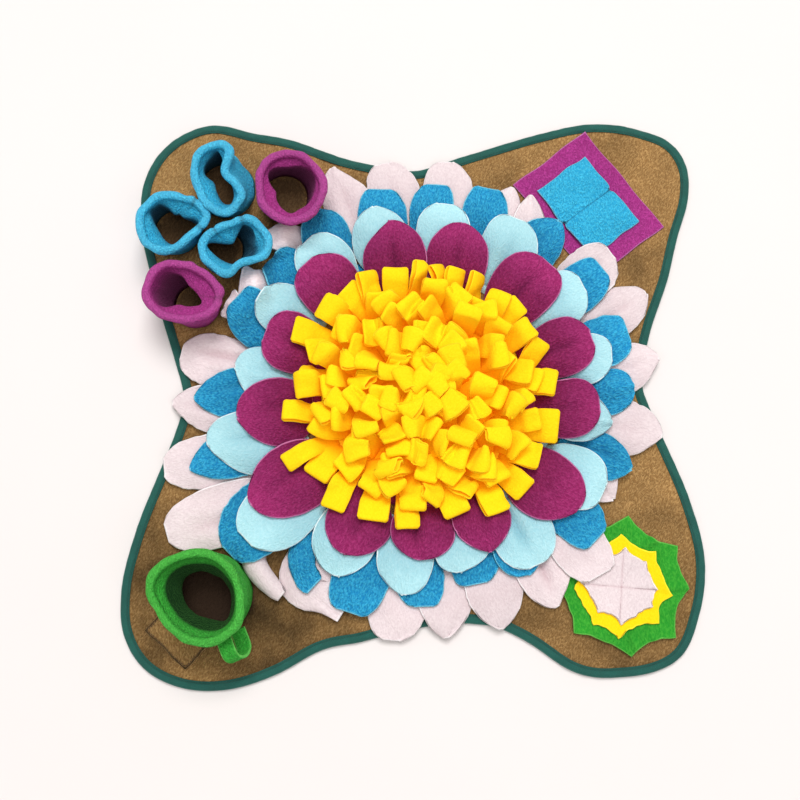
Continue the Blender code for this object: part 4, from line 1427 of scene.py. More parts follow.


@dataclass
class PetalRing:
    """A ring of petals that share one sewn strip at their roots."""

    name: str
    node: str
    cloth: Fleece
    radius: float                # distance of the roots from the flower's centre
    first: float                 # bearing of the first root
    rises: tuple[float, float]   # rise at mid length and at the tip
    crown: float                 # height of a petal's crown
    cuts: tuple[Cut, ...]        # the usual cuts
    pinch: tuple[float, float]   # least and most depth of the usual pinch
    tear: float                  # waver of the cut edges
    petals: Rows                 # tip bearing, reach and width
    special: dict[float, Petal]  # petals shaped one by one, by their tip's bearing
    rests_on: str
    seed: int
    gloom: float = 0.2           # how deep the painted shade at the roots is, from 0 to 1
    strip: float = 9.0
    rows: int = 22
    columns: int = 15

    def shapes(self) -> list[Petal]:
        """Give each petal its own small differences.

        Returns:
            A shape for each petal.
        """
        draw = random.Random(self.seed)
        found = []
        for bearing, _, _ in self.petals:
            usual = Petal(
                cut=draw.choice(self.cuts),
                pinch=draw.uniform(*self.pinch),
                pinch_at=draw.uniform(-0.3, 0.3),
                bow=draw.uniform(-0.08, 0.08),
                tip=draw.uniform(-2, 2.6),
                side=draw.uniform(-4, 4),
                skew=draw.uniform(-0.8, 0.8),
                ridge=draw.uniform(-1.5, 1.5))
            found.append(self.special.get(bearing, usual))
        return found

    def grid(self, k: int, shape: Petal) -> tuple[Array, Array, Array]:
        """Shape one petal's lower face before it is laid.

        Args:
            k: The petal's number.
            shape: Its differences.

        Returns:
            Its rows of points from root to tip, their place on the cloth, and how deep in painted shade they are.
        """
        bearing, reach, width = self.petals[k]
        root_bearing = self.first + 360 * k / len(self.petals)
        root, end = polar(FLOWER, root_bearing, self.radius), polar(FLOWER, bearing, reach)
        along = end - root
        length = float(np.linalg.norm(along))
        side = np.array((-along[1], along[0])) / length
        tangent = toward(root_bearing + 90)
        along_it = np.concatenate(([0, 0.02], np.linspace(0.06, 0.94, self.rows - 5), [0.965, 0.985, 1]))
        v = np.concatenate(([-1, -0.965], np.linspace(-0.88, 0.88, self.columns - 4), [0.965, 1]))
        s, sign = along_it[:, None], np.sign(v)
        table = np.array(shape.cut.value)
        part = np.maximum(hermite(table[:, 0], table[:, 1], s), 0.04)
        turn = ease(s, 0, 0.3)
        way = unit(tangent * (1 - turn) + side * turn)
        arc = np.sin(np.pi * s)
        middle = root + along * s + side * (shape.bow * width * arc)
        if shape.knee:
            middle = middle + 2 * s * (1 - s) * (polar(FLOWER, *shape.knee) - (root + end) / 2)
            bent = unit(np.gradient(middle, along_it, axis=0))
            way = unit(tangent * (1 - turn) + np.column_stack((-bent[:, 1], bent[:, 0])) * turn)
            length = float(np.linalg.norm(np.diff(middle, axis=0), axis=1).sum())
        # the outline, its fuller shoulder and its torn edge
        torn = self.tear * Ripple(self.seed * 50 + k, 11).at(s * length + 60 * sign, 0)
        half = 0.5 * width * part ** np.exp(-0.6 * shape.skew * sign * ease(s, 0.4, 0.85))
        off = half * v + torn * sign * np.abs(v) ** 8 * ease(s, 0.05, 0.2)
        # the rise, the crown, the ridge, the curled tip and the unevenness
        z = hermite((0, 0.3, 0.6, 1), (0, 0.55 * self.rises[0], *self.rises), s)
        z = z + 2 * self.crown * (1 - np.abs(v) ** 2.2) * np.sin(np.pi * np.minimum(s, 0.97)) ** 0.7
        z = z + shape.ridge * np.exp(-((v - shape.pinch_at) / 0.28) ** 2) * ease(s, 0.2, 0.7)
        z = z + shape.tip * ease(s, 0.6, 1) * (1 - 0.3 * v * v) + shape.lift * ease(s, 0.35, 0.75)
        z = z + 0.5 * shape.side * v * arc
        z = z + 0.9 * Ripple(self.seed * 90 + k, 30).at(off, s * length) * ease(s, 0.1, 0.4)
        wavy = Ripple(self.seed * 70 + k, 26).at(s * length + 40 * sign, 0)
        z = z + 1.3 * (wavy + 0.4) * ease(np.abs(v), 0.5, 1) * ease(s, 0.3, 0.6)
        # the pinch from the root, with the cloth pushed up beside it
        fade = ease(s, 0, 0.18) * (1 - ease(s, 0.5, 0.95))
        spot = shape.pinch_at * (1 - 0.4 * s)
        crease = np.exp(-((v - spot) / (0.13 + 0.16 * s)) ** 2)
        cheek = np.exp(-((v - spot - 0.34) / 0.2) ** 2) + 0.6 * np.exp(-((v - spot + 0.34) / 0.22) ** 2)
        z = z - shape.pinch * fade * (crease - 0.35 * cheek)
        if shape.roll:
            off, z = self.rolled(off, z, half, shape.roll, s)
        xy = middle[:, None, :] + way[:, None, :] * off[..., None]
        flat = cloth_strip(half * v, along_it * length, 41 * k)
        # painted shade at the roots and in the pinch's crease
        dim = self.gloom * (1 - ease(s, 0.45, 0.95))
        depth = np.maximum(np.clip(shape.pinch / 7, 0, 1) * fade * crease, dim)
        return np.dstack((xy, SEAT + z)), flat, depth

    @staticmethod
    def rolled(off: Array, z: Array, half: Array, roll: float, s: Array) -> tuple[Array, Array]:
        """Bend a petal's sides down round its middle.

        Args:
            off: Each point's distance from the middle line.
            z: Its height.
            half: Half the petal's width.
            roll: How far each side bends round.
            s: How far along the petal each row is.

        Returns:
            The new distances and heights.
        """
        turn = np.radians(roll) * ease(s, 0, 0.5) + 1e-3
        radius = half / turn
        angle = off / radius
        drop = radius * (1 - np.cos(angle))
        top = radius * (1 - np.cos(turn))
        return radius * np.sin(angle), z - drop + top

    def build(self, heap: Heap) -> Thing:
        """Lay every petal in turn and join them with their strip.

        Args:
            heap: The laid pieces.

        Returns:
            The ring.
        """
        mesh = ClothMesh()
        draw = random.Random(self.seed + 1)
        longest = 0
        for k, shape in sorted(enumerate(self.shapes()), key=lambda pair: pair[1].late):
            grid, flat, depth = self.grid(k, shape)
            rows, columns = grid.shape[:2]
            free = np.broadcast_to(ease(np.linspace(0, 1, rows), 0, 0.12)[:, None], (rows, columns))
            air = LAY_GAP + 1.1 * ease(np.linspace(0, 1, rows), 0.4, 1)[:, None]
            grid = heap.settle(grid, air, free)
            normal = unit(-grid_normals(grid) + (0, 0, 0.5))
            # tone: a random shade plus any painted light; fold: painted shade
            upper = mesh.add_sheet(
                grid.reshape(-1, 3), [tuple(reversed(face)) for face in grid_faces(rows, columns)],
                list(reversed(grid_rim(rows, columns))), flat.reshape(-1, 3), normal.reshape(-1, 3),
                tone=draw.uniform(-1, 1) + shape.tone, fold=0.6 * depth.ravel())
            heap.stamp(dense(upper.reshape(rows, columns, 3)))
            length = float(flat[-1, 0, 1])
            longest = max(longest, length)
        self.add_strip(mesh, heap)
        ring = dress(mesh.build(self.name, self.cloth.material()), self.cloth.slot, self.node)
        return ring

    def add_strip(self, mesh: ClothMesh, heap: Heap) -> None:
        """Add the strip that the roots are sewn into.

        Args:
            mesh: The ring's mesh.
            heap: The laid pieces.
        """
        count = 120
        bearings = np.arange(count) * 360 / count
        top = SEAT + FLEECE
        inner, outer = self.radius - self.strip, self.radius + 2
        points = np.vstack([np.column_stack((polar(FLOWER, bearings, reach), np.full(count, z)))
                            for reach, z in ((outer, SEAT), (outer, top), (inner, top), (inner, SEAT))])
        mesh.add(points, tube_faces(4, count), cloth_plane(points, -20))
        fine = np.arange(900) * 0.4
        for reach in np.arange(inner, self.radius, 1.2):
            heap.stamp(np.column_stack((polar(FLOWER, fine, reach), np.full(len(fine), top))))


# ---- the yellow heart
@dataclass(frozen=True)
class Loop:
    """One folded strip: where it is sewn, where its fold comes to lie and how it turns."""

    root: Array
    end: Array             # the place of its fold
    way: float             # the bearing that its fold points to
    width: float
    rise: float            # how high its fold would stand on an empty disc
    roll: float            # how far it is turned on to its cut edge, in degrees
    droop: float = 1.0     # how far its fold hangs down again
    curl: float = 0.0      # how far its edges curl
    hollow: float = 2.8    # half the space between its legs


@dataclass
class LoopHeart:
    """Loops of folded strip, sewn on a disc and flopped over each other from the outside inwards."""

    disc: float = 111.0        # radius of the disc
    width: float = 27.0        # usual width of a strip
    leg: float = 45.0          # length of a loop from root to fold
    short_leg: float = 38.0    # the same along the edge
    roof: float = 51.0         # height that no fold passes
    ease_in: float = 6.0       # distance below it where the loops begin to give way
    round_edge: float = 0.45   # rounding of the strips' cut edges
    seed: int = 19
    legs: int = 12             # rows of points along a leg
    columns: int = 5
    tries: int = 12            # ways to flop that each loop tries
    rim: Rows = (
        # bearing and reach of the fold, bearing it points to, width, rise, roll
        (103, 142, 91, 28, 28, 4), (91, 141, 77, 25, 30, 66), (84, 140, 104, 22, 30, 52), (75, 141, 79, 24, 29, 40),
        (65, 145, 72, 25, 29, 62), (52, 139, 65, 25, 28, -12), (43, 145, 39, 24, 26, 6), (31, 137, 31, 25, 28, -8),
        (23, 140, 55, 22, 30, 30), (4, 143, 351, 30, 28, -14), (345, 149, 353, 36, 28, 12),
        (330, 143, 345, 28, 26, -10), (315, 152, 315, 28, 24, 24), (301, 152, 293, 28, 25, -16),
        (285, 137, 292, 29, 27, 10), (263, 148, 274, 25, 25, -14), (248, 149, 262, 32, 26, 5),
        (232, 160, 250, 26, 23, -6), (218, 149, 236, 29, 27, 8), (208, 168, 214, 20, 25, -16),
        (188, 153, 176, 23, 27, 20), (178, 140, 190, 27, 29, -6), (170, 136, 166, 24, 30, 58),
        (161, 134, 196, 25, 31, 6), (154, 157, 168, 28, 27, 4), (139, 149, 150, 29, 27, -8),
        (127, 144, 138, 28, 28, 8), (116, 147, 104, 27, 29, 42),
    )
    rings: Rows = (
        # radius of the roots, loops, swing of the fold from straight outwards, most roll
        (91, 26, 45, 24), (76, 23, 70, 26), (60, 19, 100, 28), (44, 15, 140, 28), (27, 10, 180, 28), (9, 4, 180, 28),
    )

    def edge_loops(self, draw: random.Random) -> list[Loop]:
        """Say where the loops along the edge lie.

        Args:
            draw: The source of the small differences.

        Returns:
            The loops in the order that they are laid.
        """
        centre = np.array(FLOWER)
        loops = []
        for bearing, reach, way, width, rise, roll in self.rim[::2] + self.rim[1::2]:
            end = polar(centre, bearing, reach - 4)
            root = end - self.short_leg * toward(way)
            far = float(np.linalg.norm(root - centre))
            if far > self.disc - 5:
                root = centre + (root - centre) * (self.disc - 5) / far
            loops.append(Loop(root, end, way, width, rise, roll, draw.uniform(1, 4), draw.uniform(-2.4, 2.4),
                              draw.uniform(2.2, 3.4)))
        return loops

    def inner_loop(self, heap: Heap, seat: tuple[float, float], swing: float, most: float,
                   draw: random.Random) -> Loop:
        """Let a loop flop to where it lies lowest.

        Args:
            heap: The laid pieces.
            seat: Its root's bearing and radius.
            swing: How far it may turn from straight outwards.
            most: How far it may roll.
            draw: The source of the choices.

        Returns:
            The loop.
        """
        root = polar(FLOWER, *seat)
        width = self.width * draw.uniform(0.84, 1.08)
        roll = draw.uniform(-most, most) * (2.1 if draw.random() < 0.15 else 1)
        look = (draw.uniform(0, 3), draw.uniform(-2.4, 2.4), draw.uniform(2.2, 3.4))
        best = None
        for _ in range(self.tries):
            way = seat[0] + draw.uniform(-swing, swing)
            lean = math.radians(draw.uniform(36, 62))
            end = root + self.leg * math.cos(lean) * toward(way)
            loop = Loop(root, end, way + draw.uniform(-35, 35), width, self.leg * math.sin(lean), roll, *look)
            grid, _, _, lift = self.middle(heap, loop)
            cost = float(lift[self.legs // 2:].mean()) + 0.3 * max(0, float(grid[-1, :, 2].max()) - 38)
            cost += 0.12 * math.degrees(lean) + draw.uniform(0, 1.5)
            if best is None or cost < best[0]:
                best = (cost, loop)
        return best[1]

    def build(self, heap: Heap) -> Thing:
        """Make the disc and lay every loop.

        Args:
            heap: The laid pieces.

        Returns:
            The heart.
        """
        mesh = ClothMesh()
        self.add_disc(mesh, SEAT)
        draw = random.Random(self.seed)
        measures = []
        for loop in self.edge_loops(draw):
            measures.append((self.add_loop(mesh, heap, loop, len(measures), draw), loop.width))
        for radius, count, swing, most in self.rings:
            start = draw.uniform(0, 360 / count)
            for k in (*range(0, count, 2), *range(1, count, 2)):
                seat = (start + 360 * k / count + draw.uniform(-4, 4), radius + draw.uniform(-4, 4))
                loop = self.inner_loop(heap, seat, swing, most, draw)
                measures.append((self.add_loop(mesh, heap, loop, len(measures), draw), loop.width))
        heart = dress(mesh.build("heart_loops", YELLOW.material()), Slot.YELLOW, "loop_centre")
        return heart

    def add_disc(self, mesh: ClothMesh, base: float) -> None:
        """Add the disc that the loops are sewn on.

        Args:
            mesh: The heart's mesh.
            base: The height of its underside.
        """
        count = 72
        shares = np.linspace(0.08, 1, 8)
        flat = polar(FLOWER, (np.arange(count) * 360 / count)[None], self.disc * shares[:, None])
        grid = np.dstack((flat, np.full(flat.shape[:2], base))).reshape(-1, 3)
        points = np.vstack((grid, (*FLOWER, base)))
        up = np.tile((0, 0, 1), (len(points), 1))
        # painted shade on the disc under the loops
        mesh.add_sheet(points, *disc_faces(len(shares), count), cloth_plane(points, -60), up, fold=0.9)

    def middle(self, heap: Heap, loop: Loop) -> tuple[Array, ...]:
        """Lay the surface midway between a loop's two legs.

        Args:
            heap: The laid pieces.
            loop: The loop.

        Returns:
            The surface's rows from root to fold, its normals, half the space inside at each row and the lift.
        """
        q = np.linspace(0, 1, self.legs)[:, None]
        span = float(np.linalg.norm(loop.end - loop.root))
        knee = loop.end - 0.5 * span * toward(loop.way)
        plan = (1 - q) ** 2 * loop.root + 2 * q * (1 - q) * knee + q ** 2 * loop.end
        level = SEAT + FLEECE / 2 + loop.rise * (1 - (1 - q) ** 1.35) - loop.droop * q ** 3
        path = np.column_stack((plan, level))
        along = unit(np.gradient(path, axis=0))
        side = unit(np.column_stack((-along[:, 1], along[:, 0], np.zeros(len(q)))))
        up = np.cross(along, side)
        roll = math.radians(loop.roll) * ease(q, 0, 0.6)
        wide = side * np.cos(roll) + up * np.sin(roll)
        out = up * np.cos(roll) - side * np.sin(roll)
        v = np.linspace(-1, 1, self.columns)
        half = 0.5 * loop.width * (0.78 + 0.22 * ease(q, 0, 0.7))
        gap = hermite((0, 0.35, 0.85, 1), (1.02, 1.2, loop.hollow, 0.9 * loop.hollow), q)
        grid = path[:, None] + wide[:, None] * (half * v)[..., None]
        grid = grid + out[:, None] * (loop.curl * q * (v * v - 0.4))[..., None]
        dent = Ripple(7, 19).at(5 * loop.root[0] + half * v, 5 * loop.root[1] + self.leg * q)
        grid = grid + out[:, None] * (1.1 * ease(q, 0.15, 0.6) * dent)[..., None]
        low = grid.copy()
        low[..., 2] -= gap + FLEECE / 2
        lift = heap.settle(low, GAP, ease(q, 0.1, 0.5), rounds=8)[..., 2] - low[..., 2]
        stiff = min(1, 0.35 + abs(loop.roll) / 60)
        lift = lift * (1 - stiff) + lift.max(axis=1, keepdims=True) * stiff
        grid[..., 2] += lift
        over = np.maximum(grid[..., 2] - self.roof + self.ease_in, 0)
        grid[..., 2] -= over - self.ease_in * (1 - np.exp(-over / self.ease_in))
        return grid, np.broadcast_to(out[:, None], grid.shape), gap, lift

    def add_loop(self, mesh: ClothMesh, heap: Heap, loop: Loop, k: int, draw: random.Random) -> float:
        """Fold one strip round its middle surface, add it and take its space.

        Args:
            mesh: The heart's mesh.
            heap: The laid pieces.
            loop: The loop.
            k: The loop's number.
            draw: The source of its small differences.

        Returns:
            The strip's length.
        """
        grid, out, gap, _ = self.middle(heap, loop)
        tip, ahead = grid[-1], unit(grid[-1] - grid[-2])
        legs = out * gap[..., None]
        rows, ways = list(grid - legs), list(-out)
        for angle in np.radians((-66, -40, -14, 14, 40, 66)):
            way = ahead * math.cos(angle) + out[-1] * math.sin(angle)
            rows.append(tip + (tip.mean(axis=0) - tip) * 0.11 * math.cos(angle) ** 2 + way * gap[-1])
            ways.append(way)
        strip, way = np.array(rows + list((grid + legs)[::-1])), np.array(ways + list(out[::-1]))
        face = strip + way * FLEECE / 2
        back = (strip - way * FLEECE / 2)[:, ::-1]
        right, left = (face[:, -1] + back[:, 0]) / 2, (face[:, 0] + back[:, -1]) / 2
        reach = unit(face[:, -1] - face[:, 0]) * self.round_edge
        face[:, 0] += reach
        face[:, -1] -= reach
        back[:, 0] -= reach
        back[:, -1] += reach
        section = np.concatenate((face, (right + reach)[:, None], back, (left - reach)[:, None]), axis=1)
        section[..., 2] = np.maximum(section[..., 2], SEAT + 0.15)
        stations, count = section.shape[:2]
        faces = tube_faces(stations, count, closed=False) + tube_ends(stations, count)
        run = run_along(strip[:, self.columns // 2])
        across = np.concatenate((np.linspace(-1, 1, self.columns), [1.1], np.linspace(1, -1, self.columns), [-1.1]))
        cloth = cloth_strip(across * loop.width / 2, run, 53 * k)
        # painted highlight on the strips' cut edges
        edge = np.zeros((stations, count))
        edge[:, [self.columns, -1]] = 0.4
        # painted shade near the roots, and on the inside of the loop between its legs
        deep = 1 - ease(run / run[-1], 0.02, 0.26) * (1 - ease(run / run[-1], 0.74, 0.98))
        fold = np.broadcast_to(deep[:, None], (stations, count)).copy()
        fold[:, self.columns + 1:-1] = np.maximum(fold[:, self.columns + 1:-1], 0.65)
        mesh.add(section.reshape(-1, 3), faces, cloth.reshape(-1, 3), edge.ravel(), draw.uniform(-1, 1),
                 0.85 * fold.ravel())
        heap.stamp(dense(section[self.legs // 3:stations - self.legs // 3]))
        return float(run[-1])


# ---- cups
@dataclass
class TubeCup:
    """A tube of fleece with a soft rolled rim and an inner wall that leans in to its well."""

    name: str
    node: str
    cloth: Fleece
    foot: tuple[float, float, float]  # x, y and radius
    rim: tuple[float, float]          # the rim's centre
    height: float
    outline: Rows                     # the rim's bearing and reach
    well_at: tuple[float, float]      # the well's centre
    well: Rows                        # the well's bearing and reach
    creases: Rows = ()                # bearing, depth, width and the share of the height where it starts
    seed: int = 1
    wall: float = 4.0
    roll: float = 4.6                 # radius of the rim
    waist: float = 0.7                # share of the height where the well is narrowest
    gloom: float = 1.3                # how far down the painted shade takes to reach full dark, as a share of the way to the waist
    stations: int = 144

    def blend(self, share: float) -> float:
        """Say how far the wall has gone from the foot's circle to the rim's outline."""
        return float(hermite((0, 0.45, 0.84, 0.93, 1), (0, 0.50, 0.92, 1, 1), share))

    def profile(self) -> Array:
        """Draw the wall's section.

        Returns:
            Rows of height share, inset and share of the well: up the outside, over the rim and down the inside.
        """
        shoulder = 1 - 1.9 * self.roll / self.height
        rows = [(share, 0, 0) for share in np.linspace(0, shoulder, 13)]
        middle = self.wall / 2 + 0.6
        crest = 1 - self.roll / self.height
        for angle in np.linspace(-150, 120, 14):
            turn = math.radians(angle)
            rows.append((crest + self.roll * math.cos(turn) / self.height, middle + self.roll * math.sin(turn), 0))
        inset = rows[-1][1]
        start = rows[-1][0]
        for share in np.linspace(start, self.waist, 11)[1:]:
            sink = (start - share) / (start - self.waist)
            rows.append((share, inset * (1 - sink) + self.wall * sink, float(ease(sink, -0.25, 1)) ** 1.3))
        for share in np.linspace(self.waist, 0, 7)[1:]:
            rows.append((share, self.wall * (0.7 + 0.3 * share / self.waist), float(ease(share, 0, self.waist))))
        return np.array(rows)

    def well_ring(self, bearings: Array, wall: Array) -> Array:
        """Keep the well's outline inside the wall's inner face.

        Args:
            bearings: The stations' bearings.
            wall: The wall's inner face at the waist.

        Returns:
            The well's outline.
        """
        off = wall - np.array(self.well_at)
        turn = np.degrees(np.arctan2(off[:, 1], off[:, 0])) % 360
        limit = np.interp(bearings, turn[np.argsort(turn)], np.linalg.norm(off, axis=1)[np.argsort(turn)], period=360)
        reach = np.clip(closed_curve(self.well, bearings), 5, limit - 1.2)
        for _ in range(3):
            reach = 0.5 * reach + 0.25 * (np.roll(reach, 1) + np.roll(reach, -1))
        return polar(self.well_at, bearings, reach)

    def build(self) -> Thing:
        """Make the cup with its creases and soft dents.

        Returns:
            The cup.
        """
        bearings = 360 * (np.arange(self.stations) + 0.5) / self.stations
        circle = polar(self.foot[:2], bearings, self.foot[2])
        reach = closed_curve(self.outline, bearings)
        top = polar(self.rim, bearings, reach)
        part = self.blend(self.waist)
        waist = circle * (1 - part) + top * part
        waist = waist + inward(waist) * self.wall
        lean_in = self.well_ring(bearings, waist) - waist
        dents = Ripple(self.seed * 11, 40)
        sway = Ripple(self.seed * 13, 55)
        fine = Ripple(self.seed * 17, 15)
        rows, folds = [], []
        for share, inset, sunk in self.profile():
            part = self.blend(share)
            ring = circle * (1 - part) + top * part
            inner = inset > self.wall / 2 + 0.6
            soft = 1.6 * dents.at(ring[:, 0] * 1.3 + 90 * share, ring[:, 1] * 1.3)
            soft = soft * math.sin(math.pi * min(share, 0.8)) + 0.35 * fine.at(ring[:, 0], ring[:, 1] + 40 * share)
            fold = np.zeros(self.stations)
            for bearing, deep, wide, start in self.creases:
                off = (bearings - bearing + 180) % 360 - 180
                press = float(ease(share, start, 1)) * np.exp(-(off / (0.5 * wide)) ** 2)
                soft = soft + 0.5 * deep * press * (-0.4 if inner else 1)
                # painted shade in the creases
                fold = np.maximum(fold, 0.6 * press)
            ring = ring + inward(ring) * (inset + (0.3 if inner else 1) * soft)[:, None]
            for _ in range(int(max(inset, 0) * 1.6)):
                ring = 0.5 * ring + 0.25 * (np.roll(ring, 1, axis=0) + np.roll(ring, -1, axis=0))
            ring = ring + lean_in * sunk
            level = SEAT + share * self.height + 2.2 * share ** 2 * sway.at(top[:, 0], top[:, 1])
            rows.append(np.column_stack((ring, np.maximum(level, SEAT))))
            # painted shade: darker low on the outer wall, and down the inner wall into the well
            depth = 0.3 * max(0, 0.5 - share)
            if inner:
                depth = float(ease(1 - share, 0.4 * (1 - self.waist), self.gloom * (1 - self.waist)))
            folds.append(np.maximum(fold, depth))
        mesh = ClothMesh()
        # painted highlight on the rim's crest
        crest = np.zeros((len(rows), self.stations))
        crest[17:23] = 0.16
        points = np.vstack(rows)
        mesh.add(points, tube_faces(len(rows), self.stations), points, crest.ravel(), 0, np.concatenate(folds))
        cup = dress(mesh.build(self.name, self.cloth.material()), self.cloth.slot, self.node)
        return cup


@dataclass
class StrapHandle:
    """The green cup's strap, bent out from the wall and back to it."""

    cup: TubeCup
    bearing: float = -67.5
    width: float = 16.0
    thick: float = 3.6
    shift: tuple[float, float] = (1, 13.5)
    path: Rows = (
        # distance from the wall, height
        (0, 54), (13, 56), (22.5, 51), (26.5, 42), (24, 33), (13.5, 27), (0, 28),
    )
    stations: int = 44

    def wall_reach(self, height: float) -> float:
        """Measure how far the cup's outer wall is from its foot along the strap's bearing.

        Args:
            height: The height above the mat.

        Returns:
            The distance.
        """
        bearings = 360 * (np.arange(16) + 0.5) / 16
        part = float(np.interp(height / self.cup.height, (0, 0.45, 0.84, 0.93), (0, 0.5, 0.92, 1)))
        circle = polar(self.cup.foot[:2], bearings, self.cup.foot[2])
        ring = circle * (1 - part) + polar(self.cup.rim, bearings, closed_curve(self.cup.outline, bearings)) * part
        ring = ring - np.array(self.cup.foot[:2])
        way = toward(self.bearing)
        side = np.array((-way[1], way[0]))
        aside = sum(self.shift) / 2
        return float((ring[np.abs(ring @ side - aside) < self.width * 0.9] @ way).max())

    def build(self) -> Thing:
        """Bend the strap round its path.

        Returns:
            The strap.
        """
        rough = np.array([(self.wall_reach(height) + GAP + distance, height + MAT_TOP)
                          for distance, height in self.path])
        run = run_along(rough)
        at = np.linspace(0, run[-1], self.stations)
        middle = np.column_stack((hermite(run, rough[:, 0], at), hermite(run, rough[:, 1], at)))
        along = unit(np.gradient(middle, axis=0))
        out = np.column_stack((-along[:, 1], along[:, 0]))
        section = np.array(((-1, 0), (-0.93, -0.8), (-0.8, -1), (-0.4, -0.9), (0, -0.95), (0.4, -0.9), (0.8, -1),
                            (0.93, -0.8), (1, 0), (0.93, 0.8), (0.8, 1), (0.4, 0.85), (0, 0.9), (-0.4, 0.85),
                            (-0.8, 1), (-0.93, 0.8)))
        way = toward(self.bearing)
        side = np.array((-way[1], way[0]))
        points = []
        foot = np.array(self.cup.foot[:2])
        sideways = self.shift[0] + (self.shift[1] - self.shift[0]) * ease(at / run[-1], 0.25, 0.75)
        for spot, normal, aside in zip(middle, out, sideways):
            reach = spot[0] + normal[0] * section[:, 1] * self.thick / 2
            level = spot[1] + normal[1] * section[:, 1] * self.thick / 2
            xy = foot + np.outer(reach, way) + np.outer(section[:, 0] * self.width / 2 + aside, side)
            points.append(np.column_stack((xy, level)))
        count = len(section)
        faces = tube_faces(len(middle), count, closed=False) + tube_ends(len(middle), count)
        cloth = cloth_strip(section[:, 0] * self.width / 2, at, 77)
        # painted highlight along the strap's edges
        edge = np.tile(np.where(np.abs(section[:, 0]) > 0.9, 0.5, 0), len(at))
        mesh = ClothMesh()
        mesh.add(np.vstack(points), faces, cloth.reshape(-1, 3), edge)
        strap = dress(mesh.build("handle_strap", GREEN.material()), Slot.GREEN, "handle_green")
        return strap


# ---- the studio
@dataclass
class Studio:
    """A pale floor, soft light from beyond the mat, a weak lamp over it, two weak fills and the camera above."""

    camera_place: tuple[float, float, float] = (-0.0153, -0.2200, 1.2212)
    camera_tilt: float = 10.0
    lens: float = 50.985
    span: float = 6.0
    pale: Colour = (0.768, 0.716, 0.698)
    paler: Colour = (0.776, 0.724, 0.706)
    sky: Colour = (1, 0.985, 0.975)
    sky_strength: float = 0.46
    lamps: tuple[tuple[Any, ...], ...] = (
        # name, place, length of its side, power in watts
        ("key", (0.2, 3.1, 6.6), 3.2, 368), ("top", (0.3, -0.2, 4.5), 1.6, 40),
        ("fill_right", (1.5, -1.9, 3.2), 2, 16), ("fill_left", (-2, -0.7, 3), 2, 8),
    )

    def camera(self) -> None:
        """Set the camera over the mat."""
        data = bpy.data.cameras.new("camera")
        data.lens = self.lens
        data.sensor_width = 36
        camera = in_scene("camera", data)
        camera.location = self.camera_place
        camera.rotation_euler = (math.radians(self.camera_tilt), 0, 0)
        bpy.context.scene.camera = camera

    def lamp(self, name: str, place: tuple[float, float, float], size: float, power: float) -> None:
        """Hang a soft square lamp that faces the mat.

        Args:
            name: The lamp's name.
            place: Where it hangs, in metres.
            size: The length of its side, in metres.
            power: Its power, in watts.
        """
        data = bpy.data.lights.new(name, "AREA")
        data.size = size
        data.energy = power
        lamp = in_scene(name, data)
        lamp.location = place
        lamp.rotation_euler = (-Vector(place)).to_track_quat("-Z", "Y").to_euler()

    def floor(self) -> None:
        """Lay the pale floor."""
        tree = Shading("studio_floor")
        grain = tree.noise(tree.add("ShaderNodeTexCoord").outputs["Object"], 3, 4)
        colour = tree.blend(tree.spread(grain, 0.3, 0.7), self.pale, self.paler)
        mesh = bpy.data.meshes.new("floor")
        span = self.span
        mesh.from_pydata([(-span, -span, 0), (span, -span, 0), (span, span, 0), (-span, span, 0)], [], [(0, 1, 2, 3)])
        mesh.materials.append(tree.finish(colour, 0.9))
        floor = in_scene("floor", mesh)

    def build(self) -> None:
        """Set up the camera, the floor, the lamps and the sky."""
        self.camera()
        self.floor()
        for row in self.lamps:
            self.lamp(*row)
        world = bpy.data.worlds.new("studio")
        world.use_nodes = True
        sky = world.node_tree.nodes["Background"]
        sky.inputs["Color"].default_value = (*self.sky, 1)
        sky.inputs["Strength"].default_value = self.sky_strength
        bpy.context.scene.world = world
        bpy.context.scene.view_settings.view_transform = "Standard"


# ---- this mat's pieces
def flat_pieces() -> list[Any]:
    """List the sheets sewn to the mat, from the bottom up."""
    return [
        SewnSheet("patch", "patch_brown", BROWN, (-251.5, -261), (60, 30), -42.5, 31, 17, "mat_fleece",
                  seed=2, swell=0.25, thread=Thread("patch", srgb(58, 38, 22)), painted_edge_shading=0.9),
        SewnSheet("plum_panel", "panel_plum", MAGENTA, (196, 216), (140, 103), -52.7, 61, 45, "mat_fleece",
                  seed=3, wobble=0.7, swell=0.6),
        PuffedPanel("blue_panel", "panel_blue", AZURE, (195, 214), (96, 68), -52.7, 61, 33, "plum_panel",
                    seed=4, wobble=0.8, thread=Thread("panel", srgb(10, 96, 140))),
        StarLayer("leaf_layer", "star_green", LEAF, 2.5, (
            (-1, 72), (19, 66), (35, 75), (60, 62), (82, 76), (106, 64), (130, 74), (152, 62),
            (175, 71), (199, 59), (223, 69), (248, 59), (277, 72), (295, 63), (317, 76), (339, 62)),
            "mat_fleece", seed=5, creases=(
                # bearing and reach of the start, bearing, length, width and height of the ridge
                (280, 50, 300, 20, 5, 5), (300, 56, 330, 16, 4, 3), (0, 50, 5, 24, 4, 4),
                (58, 54, 30, 26, 4, 4.5), (235, 60, 215, 18, 6, 2.5))),
        StarLayer("gold_layer", "star_yellow", YELLOW, 2.5, (
            (-9, 54), (22, 46), (45, 53), (64, 46), (88, 56), (112, 47), (135, 54), (158, 46),
            (182, 50), (207, 45), (232, 49), (249, 46), (265, 54), (289, 43), (316, 54), (335, 44)),
            "leaf_layer", seed=6),
        StarLayer("rose_layer", "star_pink", PINK, 2, (
            (-3, 38), (23, 33), (45, 38), (64, 36), (82, 42), (105, 34), (128, 40), (150, 34),
            (173, 43), (198, 34), (226, 37), (250, 31), (268, 39), (295, 33), (328, 38), (342, 35)),
            "gold_layer", seed=7, quarters=4.2, seam_turn=-5),
    ]


